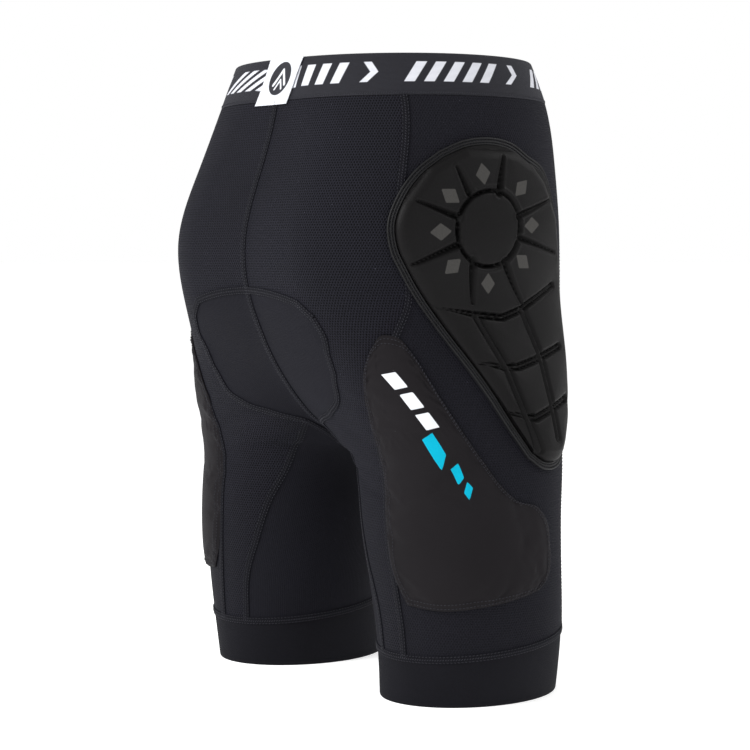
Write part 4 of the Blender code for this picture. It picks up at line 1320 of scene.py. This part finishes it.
def hip_pad(side, word, rows=250, columns=150):
    """One moulded pad, about one point a millimetre."""
    flat = pad_grid(HIP_PAD, rows, columns, 0.0068)
    points, normals = lay_flat(side, "hip", flat)
    edge = edge_distance(flat, ring_of(pad_grid(HIP_PAD, 60, 40, 0.0068))) / MM
    edge[0], edge[-1], edge[:, 0], edge[:, -1] = 0, 0, 0, 0
    relief, groove_shade = hip_relief(flat / MM, edge)
    # groove_shade is painted shade: it darkens the foam's colour in the grooves.
    fields = {"print": patch_distance(flat / MM, PATCHES), "groove_shade": groove_shade}
    return slab(f"moulded_hip_pad_{word}", points, PAD_BASE, PAD_BASE + relief * MM, hip_foam,
                normals=normals, fields=fields)


for side, word in SIDES:
    pad = hip_pad(side, word)
    declare(pad, f"hip_pad_{word}")
    print(pad.name, len(pad.data.polygons), "faces")

# %% [markdown]
# ## Thigh pads
# The thigh pad is a thin foam slab under a smooth cover that is stitched down all round. A cloth
# simulation gives the cover its shape: a sheet slightly larger than its hole is held by its
# border and blown up against the foam's pressure, so it domes and puckers near the stitches. The
# rise of each point is read off, kept below a cap and above the foam, and the fine cover is built
# from it.

# %% Cover simulation
def blown_rise(flat, pressure, cap, growth=0.03, frames=20):
    """How far each point of a flat sheet rises when it is held at its border and blown up."""
    rows, columns = flat.shape[:2]
    bm = bmesh.new()
    bmesh.ops.create_grid(bm, x_segments=columns - 1, y_segments=rows - 1, size=1.0)
    place = place_grid(bm, rows, columns)
    order = flat.reshape(-1, 2)
    border = []
    for vert in sorted(bm.verts, key=lambda v: v[place]):
        row, column = divmod(vert[place], columns)
        vert.co = (*order[vert[place]], 0.0)
        if row in (0, rows - 1) or column in (0, columns - 1):
            border.append(vert.index)
    mesh = bpy.data.meshes.new("sheet")
    bm.to_mesh(mesh)
    index = [vert[place] for vert in bm.verts]
    bm.free()
    sheet = bpy.data.objects.new("sheet", mesh)
    bpy.context.scene.collection.objects.link(sheet)
    sheet.vertex_groups.new(name="held").add(border, 1.0, "REPLACE")
    cloth = sheet.modifiers.new("blow", "CLOTH").settings
    cloth.vertex_group_mass = "held"
    cloth.use_pressure = True
    cloth.uniform_pressure_force = pressure
    cloth.shrink_min = -growth
    cloth.effector_weights.gravity = 0.0
    cloth.quality = 6
    scene = bpy.context.scene
    for frame_number in range(1, frames + 1):
        scene.frame_set(frame_number)
    moved = sheet.evaluated_get(bpy.context.evaluated_depsgraph_get()).data
    rise = np.zeros(rows * columns)
    for vert, at in zip(moved.vertices, index):
        rise[at] = vert.co.z
    scene.frame_set(1)
    bpy.data.objects.remove(sheet, do_unlink=True)
    rise = np.abs(rise.reshape(rows, columns))
    print(f"blown sheet: highest {rise.max() * 1000:.1f} mm, kept to {cap * 1000:.1f} mm")
    return cap * np.tanh(rise / cap)


def spread(table, rows, columns):
    """A small table of heights made finer, smoothly in both directions."""
    fine = natural_spline(np.linspace(0, 1, len(table)), table)(np.linspace(0, 1, rows))
    return natural_spline(np.linspace(0, 1, table.shape[1]), fine.T)(np.linspace(0, 1, columns)).T


# %% Thigh pad pieces
BARS = [  # white slanted bars
    [(28, 92), (16, 94), (11, 82), (22, 80)],
    [(20, 76), (9, 78), (4.5, 66), (15.5, 64)],
    [(14, 60), (3, 62), (-1, 50), (9.5, 48)],
]
MARKS = [  # cyan leaning marks
    [(16, 40), (6, 46), (1, 28), (8, 15)],
    [(1, 16), (-6, 21), (-8, 9), (-3, 3)],
    [(-7, -3), (-10, 6), (-14, 1), (-11, -9)],
]
COVER_CLOTH, COVER_GAP = 0.0008, 0.0006  # the cloth, and how far its edge stands off the panel
FOAM_INSET, FOAM_GAP, FOAM_HEIGHT = 0.0100, 0.0003, 0.0014
COVER_TOPS = {}  # outer face and normals of each cover, for its stitches
for side, word in SIDES:
    coarse = pad_grid(THIGH_PAD, 56, 36)
    from_edge = edge_distance(coarse, ring_of(coarse))
    foam_room = 0.0019 * arch(np.clip((from_edge - 0.005) / 0.012, 0, 1))
    rise = np.maximum(blown_rise(coarse, 2.2, 0.0042), foam_room)
    flat = pad_grid(THIGH_PAD, 168, 108)
    points, normals = lay_flat(side, "thigh", flat)
    lift = COVER_GAP + np.maximum(spread(rise, *flat.shape[:2]), 0)
    fields = {"white": patch_distance(flat / MM, BARS), "cyan": patch_distance(flat / MM, MARKS)}
    cover = slab(f"thigh_cover_{word}", points, lift, lift + COVER_CLOTH, pad_cover, normals=normals,
                 fields=fields)
    declare(cover, f"thigh_pad_cover_{word}")
    COVER_TOPS[side] = points + normals * (lift + COVER_CLOTH)[..., None], normals
    declare_sheet(points)
    flat = pad_grid(THIGH_PAD, 60, 40, FOAM_INSET)
    points, normals = lay_flat(side, "thigh", flat)
    from_edge = edge_distance(flat, ring_of(flat))
    soft = 0.0001 + FOAM_HEIGHT * arch(np.clip(from_edge / 0.012, 0, 1))
    foam = slab(f"thigh_foam_{word}", points, FOAM_GAP, FOAM_GAP + soft, white_foam, normals=normals)
    declare(foam, f"thigh_pad_foam_{word}")

# %% [markdown]
# ## Flat seams
# Sportswear is joined with flat seams: the edges are butted, and several threads cross them. On
# the cloth that is a narrow raised tape with a row of short stitches along each side. The tape
# follows the pattern line of its seam, and the stitches are one tiny shape, repeated.

# %% Tapes and stitches
STITCH_PITCH, STITCH_LENGTH, STITCH_RADIUS = 0.0030, 0.0019, 0.00032


def unit(vectors):
    """The same vectors at length one."""
    return vectors / np.maximum(np.linalg.norm(vectors, axis=-1, keepdims=True), 1e-12)


def side_steps(points, normals):
    """Unit steps across a path, square to it and to the surface."""
    return unit(np.cross(np.gradient(points, axis=0), normals))


def tape(name, path, width, low, high, material):
    """Narrow strip along a path on the form, thin at its edges."""
    points, normals = path
    across = np.linspace(-0.5, 0.5, 7)
    steps = side_steps(points, normals)
    grid = points[:, None] + steps[:, None] * (across * width)[None, :, None]
    tops = low + (high - low) * arch(1 - np.abs(across) * 1.9)[None, :]
    return slab(name, grid, low - 0.0004, tops, material,
                normals=np.broadcast_to(normals[:, None], grid.shape).copy())


def stitch_shape():
    """One stitch: a short rounded bar along X, with a few faces."""
    bm = bmesh.new()
    bmesh.ops.create_uvsphere(bm, u_segments=6, v_segments=4, radius=1.0)
    turn = Matrix.Rotation(math.pi / 2, 4, "Y")
    bmesh.ops.transform(bm, matrix=turn, verts=bm.verts[:])
    bmesh.ops.scale(bm, vec=(STITCH_LENGTH / 2, STITCH_RADIUS, STITCH_RADIUS), verts=bm.verts[:])
    mesh = bpy.data.meshes.new("stitch")
    bm.to_mesh(mesh)
    bm.free()
    return mesh


STITCH = stitch_shape()


def stitch_row(bm, path, offset, lift, slant=0.0, pitch=STITCH_PITCH):
    """Stitches along a path, offset metres to its side and lift metres above the form."""
    points, normals = path
    steps = side_steps(points, normals)
    line = points + steps * offset + normals * lift
    travel = np.concatenate(([0.0], np.cumsum(np.linalg.norm(np.diff(line, axis=0), axis=1))))
    stops = np.arange(pitch / 2, travel[-1], pitch)
    centres = np.stack([np.interp(stops, travel, line[:, k]) for k in range(3)], axis=1)
    ahead = unit(np.stack([np.interp(stops + 0.0005, travel, line[:, k]) for k in range(3)], axis=1)
                 - np.stack([np.interp(stops - 0.0005, travel, line[:, k]) for k in range(3)], axis=1))
    facing = unit(np.stack([np.interp(stops, travel, normals[:, k]) for k in range(3)], axis=1))
    across = unit(np.cross(facing, ahead))
    ahead = unit(ahead + across * slant)
    across = unit(np.cross(facing, ahead))
    for centre, x, y, z in zip(centres, ahead, across, facing):
        place = Matrix((x, y, z)).transposed().to_4x4()
        place.translation = Vector(centre)
        STITCH.transform(place)
        bm.from_mesh(STITCH)
        STITCH.transform(place.inverted())


def stitches(name, rows, material=black_thread):
    """Piece made of several rows of stitches, each a tuple for stitch_row."""
    bm = bmesh.new()
    for row in rows:
        stitch_row(bm, *row)
    mesh = bpy.data.meshes.new(name)
    bm.to_mesh(mesh)
    bm.free()
    return finished(name, mesh, material)


def seam_path(side, pattern, count=160):
    """Points and normals of a seam, evenly divided."""
    pattern = along(pattern, count)
    return surface(side, pattern[:, 0], pattern[:, 1])


def joined(name, pieces):
    """One piece made of several, which are removed."""
    bm = bmesh.new()
    for piece in pieces:
        bm.from_mesh(piece.data)
    mesh = bpy.data.meshes.new(name)
    bm.to_mesh(mesh)
    bm.free()
    material = pieces[0].data.materials[0]
    for piece in pieces:
        bpy.data.objects.remove(piece, do_unlink=True)
    return finished(name, mesh, material)


def flat_path(side, pad, flat):
    """Points and normals of a run of flat points on a pad's pattern."""
    return lay_flat(side, pad, np.asarray(flat))


HEM_LINE = [(a, float(hem_level(a))) for a in np.linspace(0, 360, 73)]
SEAMS = {
    "side_back": pinned(SIDE_BACK, top=True, hem=True),
    "side_front": pinned(SIDE_FRONT, top=True, hem=True),
    "inner_back": pinned(INNER_BACK, hem=True),
    "inner_front": pinned(INNER_FRONT, hem=True),
    "gusset_back": np.array(GUSSET_LOW_BACK), "gusset_in": np.array(GUSSET_LOW_IN),
    "gusset_front_in": np.array(GUSSET_LOW_FRONT_IN), "gusset_front": np.array(GUSSET_LOW_FRONT),
    "gusset_top": gusset_top_edge(12), "pouch": pinned(POUCH_EDGE, top=True),
    "hem": np.array(HEM_LINE),
}
TAPE_WIDTH, TAPE_LOW, TAPE_HIGH = 0.0060, 0.0003, 0.0012

for side, word in SIDES:
    rows, tapes = [], []
    for name, pattern in SEAMS.items():
        path = seam_path(side, pattern)
        tapes.append(tape(f"seam_tape_{name}_{word}", path, TAPE_WIDTH, TAPE_LOW, TAPE_HIGH, hem_knit))
        rows += [(path, TAPE_WIDTH * 0.40, TAPE_HIGH - 0.0002, 0.25),
                 (path, -TAPE_WIDTH * 0.40, TAPE_HIGH - 0.0002, -0.25),
                 (path, 0.0, TAPE_HIGH, 0.9, 0.0022)]
    declare(joined(f"seam_tapes_{word}", tapes), None)
    piece = stitches(f"flat_seam_stitches_{word}", rows)
    declare(piece, None)
    print(piece.name, len(piece.data.polygons), "faces")

# %% Centre seams
def centre_path(top, bottom, back=True, count=140):
    """Points and normals along the middle seam at the back or the front."""
    levels = np.linspace(top, bottom, count + 1)
    y = form(RIGHT, centre_angle(levels) * (1 if back else -1), levels)
    y[:, 0] = 0.0
    run = np.gradient(y, axis=0)
    normal = unit(np.stack((0 * run[:, 0], run[:, 2], -run[:, 1]), axis=1))
    return y, normal * (np.sign(normal[:, 1:2]) * (1 if back else -1))


back_seam = centre_path(BAND_LEVEL, 1.03)
piece = tape("seam_tape_centre_back", back_seam, TAPE_WIDTH, TAPE_LOW, TAPE_HIGH, hem_knit)
declare(piece, None)
piece = stitches("centre_back_stitches", [(back_seam, TAPE_WIDTH * s, TAPE_HIGH - 0.0002, s)
                                          for s in (0.40, -0.40)]
                 + [(back_seam, 0.0, TAPE_HIGH, 0.9, 0.0022)])
declare(piece, None)

# %% [markdown]
# The pads are sewn on with plain rows of thread: one just inside the hip pad's cords and two
# round the thigh pad, which sit on its blown-up cover. The waistband has a zigzag along its lower
# edge, and a tape inside covers the joint between the elastic and the panels.

# %% Stitches on pads and waistband
THREAD_LIFT = 0.0003
HIP_STITCH_INSETS = (0.0023, 0.0044)
COVER_STITCH_CELLS = (2, 5)  # cells of the cover's grid in from its edge
for side, word in SIDES:
    border = ring_of(pad_grid(HIP_PAD, 220, 130))
    rows = []
    for inset in HIP_STITCH_INSETS:
        ring = step_in(border, inset)
        path = flat_path(side, "hip", np.concatenate((ring, ring[:1])))
        rows.append((path, 0.0, PAD_BASE + THREAD_LIFT))
    for cells in COVER_STITCH_CELLS:
        ring = [ring_of(grid[cells:-cells, cells:-cells]) for grid in COVER_TOPS[side]]
        path = [np.concatenate((points, points[:1])) for points in ring]
        rows.append((path, 0.0, THREAD_LIFT))
    piece = stitches(f"pad_stitches_{word}", rows)
    declare(piece, None)

band_low = waist_ring([BAND_LEVEL + 0.006])[0]
band_normals = upright(grid_normals(waist_ring([2.0, BAND_LEVEL + 0.006]), True))[1]
band_path = (band_low, band_normals)
piece = stitches("waistband_zigzag", [(band_path, 0.0, THREAD_LIFT, 1.1, 0.0020),
                                      (band_path, 0.0012, THREAD_LIFT, -1.1, 0.0020)])
declare(piece, None)
seam_ring = waist_ring([2.0, BAND_LEVEL])
joint_path = (seam_ring[1], upright(grid_normals(seam_ring, True))[1])
piece = tape("waistband_seam_tape", joint_path, 0.0040, -CLOTH - 0.0007, -CLOTH - 0.0001, hem_knit)
declare(piece, None)

# %% [markdown]
# ## Labels
# The waistband label is a slanted satin tab, wrapped over the band at the centre back. Its mark
# is a dark oval with a pale peak inside: the peak is cut out of the oval's distance. The care
# label hangs inside, loose on its sewn edge, so it moves as a body of its own.

# %% Waistband label
LABEL_WIDTH, LABEL_SLANT, LABEL_SHIFT, LABEL_THICKNESS = 0.042, 0.017, -0.004, 0.0006


def label_points(rows=60, columns=44):
    """Slanted grid over the waistband, following its curve, and its flat millimetres."""
    low = BAND_LEVEL - 0.003 / RISE
    t = np.linspace(1.0, 0.0, rows + 1)[:, None]
    across = np.linspace(-0.5, 0.5, columns + 1)[None]
    x = across * LABEL_WIDTH - LABEL_SLANT * (t - 0.5) + LABEL_SHIFT
    level = low + t * (2.0 - low) + 0 * x
    y = np.zeros(x.shape)
    for k, here in enumerate(level[:, 0]):
        curve = form(RIGHT, np.linspace(60, float(centre_angle(here)), 200), here)
        y[k] = np.interp(np.abs(x[k]), -curve[::-1, 0], curve[::-1, 1])
    points = np.stack((x, y, height(level)), axis=-1)
    flat = np.stack((across * LABEL_WIDTH * 1000 + 0 * t, (t - 0.5) * 38 + 0 * across), axis=-1)
    return points, flat


def oval_mark(flat):
    """Signed distance of the dark oval, less a pale peak of two strokes."""
    x, y = flat[..., 0], flat[..., 1]
    oval = np.hypot(x, y - 2.5) - 13.5
    left = segment_distance(flat, (-8.0, -2.5), (-1.0, 9.5))[0]
    right = segment_distance(flat, (7.0, -2.5), (-1.0, 9.5))[0]
    low_left = segment_distance(flat, (-5.0, -6.0), (-0.5, 1.5))[0]
    low_right = segment_distance(flat, (4.0, -6.0), (-0.5, 1.5))[0]
    peak = np.minimum.reduce((left - 1.3, right - 1.3, low_left - 0.9, low_right - 0.9))
    return np.maximum(oval, -peak)


points, flat = label_points()
level_out = np.broadcast_to((0.0, 1.0, 0.0), points.shape).copy()
puff = 0.0010 + 0.0003 * np.abs(flat[..., 0]) / 12.5
piece = slab("slanted_label", points, puff - 0.0004, puff + LABEL_THICKNESS - 0.0004, satin_label,
             normals=level_out, fields={"mark": oval_mark(flat)})
declare(piece, "waistband_label")
declare_sheet(points)
label_edges = [(points[:, k], level_out[:, k]) for k in (2, -3)]
piece = stitches("label_stitches", [(edge, 0.0, 0.0013, 0.0, 0.0024) for edge in label_edges], white_thread)
declare(piece, None)

# %% Care label
low_corner, high_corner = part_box("care_label")
rows, columns = 46, 30
t = np.linspace(0, 1, rows + 1)[:, None]
across = np.linspace(0, 1, columns + 1)[None]
x = low_corner[0] + (high_corner[0] - low_corner[0]) * across + 0 * t
z = high_corner[2] + (low_corner[2] - high_corner[2]) * t + 0 * across
middle_y = (low_corner[1] + high_corner[1]) / 2
y = middle_y - 0.0016 * t ** 2 * (1 + 0.5 * np.cos(across * math.pi * 2)) + 0 * x
points = np.stack((x, y, z), axis=-1)
out = np.broadcast_to((0.0, 1.0, 0.0), points.shape).copy()
fold = 0.00008 * np.sin(t * 34) + 0 * across
no_mark = np.full(points.shape[:2], 5.0)
piece = slab("loose_care_label", points, -0.00022 + fold, 0.00022 + fold, satin_label, normals=out,
             fields={"mark": no_mark})
declare(piece, "care_label", body="care_label")
declare_sheet(points)

# %% [markdown]
# ## Seat pad
# Inside the gusset is a seat pad: a base cloth with two sit-bone pads and a narrow middle one.
# They are blown up by the same cloth simulation, so their middles crown softly.

# %% Chamois
CHAMOIS_TOP = -CLOTH - 0.0018
CHAMOIS_CLOTH = 0.0012


def part_of(pattern, rows, columns):
    """A share of a pattern, by (from, to) shares of its rows and columns."""
    high, wide = pattern.shape[0] - 1, pattern.shape[1] - 1
    return pattern[round(rows[0] * high):round(rows[1] * high) + 1,
                   round(columns[0] * wide):round(columns[1] * wide) + 1]


def facing_out(points, follow=False):
    """Normals of a grid across the middle; where it is pinched, those of the middle line."""
    normals = grid_normals(points)
    middle = np.broadcast_to(normals[:, None, points.shape[1] // 2], normals.shape)
    pinched = np.sum(normals * middle, axis=2, keepdims=True) < 0
    return np.where(pinched | follow, middle, normals)


def soft_pad(name, points, top, node, peak=0.0060, normals=None):
    """Foam pad below a surface: thin at its edge, crowned by the simulation."""
    flat = pattern_uv(points)
    coarse = flat[::2, ::2]
    rise = spread(blown_rise(coarse, 3.0, peak), *flat.shape[:2])
    piece = slab(name, points, top - 0.0016 - np.maximum(rise, 0) * 0.75, top, white_foam,
                 normals=normals)
    declare(piece, node)


gusset = gusset_pattern(20)
base = across_middle(laid(RIGHT, part_of(gusset, (0.05, 0.95), (0.0, 0.72))))
piece = slab("chamois_cloth", base, CHAMOIS_TOP - CHAMOIS_CLOTH, CHAMOIS_TOP, chamois_knit,
             normals=facing_out(base))
declare(piece, "chamois_base")
declare_sheet(base)
fine_gusset = gusset_pattern(60)
for side, word in SIDES:
    share = part_of(fine_gusset, (0.10, 0.46), (0.20, 0.66))
    soft_pad(f"sit_bone_pad_{word}", laid(side, share), CHAMOIS_TOP - CHAMOIS_CLOTH - 0.0008,
             f"chamois_sit_pad_{word}")
share = part_of(gusset_pattern(40), (0.54, 0.84), (0.0, 0.26))
middle = across_middle(laid(RIGHT, share))
soft_pad("middle_seat_pad", middle, CHAMOIS_TOP - CHAMOIS_CLOTH - 0.0008, "chamois_centre_pad",
         normals=facing_out(middle, follow=True))

# %% [markdown]
# ## Stage, light and camera
# Dark clothes are shown on plain white, with one large soft light from above the camera's left
# and weaker ones from the right and behind, so that their folds read. The floor is wide and flat
# and gives off a little light of its own, and the sky is brighter to the camera than it is to the
# cloth: the backdrop stays white while black stays black. The camera stands behind the wearer's
# right hip, a little above the middle.

# %% Stage
def pale_floor():
    """Wide flat floor that gives off a little light."""
    material, tree, shader, where, flat = new_material("pale_floor", 0.9)
    tint = add(tree, "ShaderNodeTexNoise", {"Vector": where, "Scale": 3.0})
    colour = blend_colour(tree, tint.outputs[0], (0.94, 0.94, 0.94), (0.96, 0.96, 0.96))
    tree.links.new(colour, shader.inputs["Base Color"])
    shader.inputs["Emission Color"].default_value = (1.0, 1.0, 1.0, 1.0)
    shader.inputs["Emission Strength"].default_value = 0.5
    bm = bmesh.new()
    bmesh.ops.create_grid(bm, x_segments=40, y_segments=40, size=60.0)
    mesh = bpy.data.meshes.new("floor")
    bm.to_mesh(mesh)
    bm.free()
    mesh.materials.append(material)
    obj = bpy.data.objects.new("floor", mesh)
    bpy.context.scene.collection.objects.link(obj)


def area_light(name, place, target, size, power, colour=(1.0, 1.0, 1.0)):
    """Square soft light turned towards a point."""
    data = bpy.data.lights.new(name, "AREA")
    data.energy, data.size, data.color = power, size, colour
    light = bpy.data.objects.new(name, data)
    light.location = place
    light.rotation_euler = (Vector(target) - Vector(place)).to_track_quat("-Z", "Y").to_euler()
    bpy.context.scene.collection.objects.link(light)


MIDDLE = (0.0, 0.0, 0.27)
pale_floor()
area_light("key", (0.6, 2.0, 1.7), MIDDLE, size=1.2, power=62)
area_light("fill", (-2.4, 0.2, 1.2), MIDDLE, size=1.2, power=9)
area_light("rim", (-1.2, -1.6, 1.7), MIDDLE, size=1.0, power=16)
bpy.context.scene.view_settings.view_transform = "Standard"
world = bpy.data.worlds.new("pale_sky")
bpy.context.scene.world = world
world.use_nodes = True
world.node_tree.nodes["Background"].inputs[0].default_value = (1.0, 1.0, 1.0, 1.0)
seen = add(world.node_tree, "ShaderNodeLightPath").outputs["Is Camera Ray"]
strength = calc(world.node_tree, "MULTIPLY_ADD", seen, 0.45, 0.55)
world.node_tree.links.new(strength, world.node_tree.nodes["Background"].inputs[1])

CAMERA_PLACE = (-1.3404, 1.1439, 0.368)
CAMERA_AIM = (0.7568, -0.6510, -0.0602)
lens = bpy.data.cameras.new("camera")
lens.lens, lens.sensor_width = 96.8, 36.0
camera = bpy.data.objects.new("camera", lens)
camera.location = CAMERA_PLACE
camera.rotation_euler = Vector(CAMERA_AIM).to_track_quat("-Z", "Y").to_euler()
bpy.context.scene.collection.objects.link(camera)
bpy.context.scene.camera = camera

# %% Finish
bpy.data.meshes.remove(STITCH)
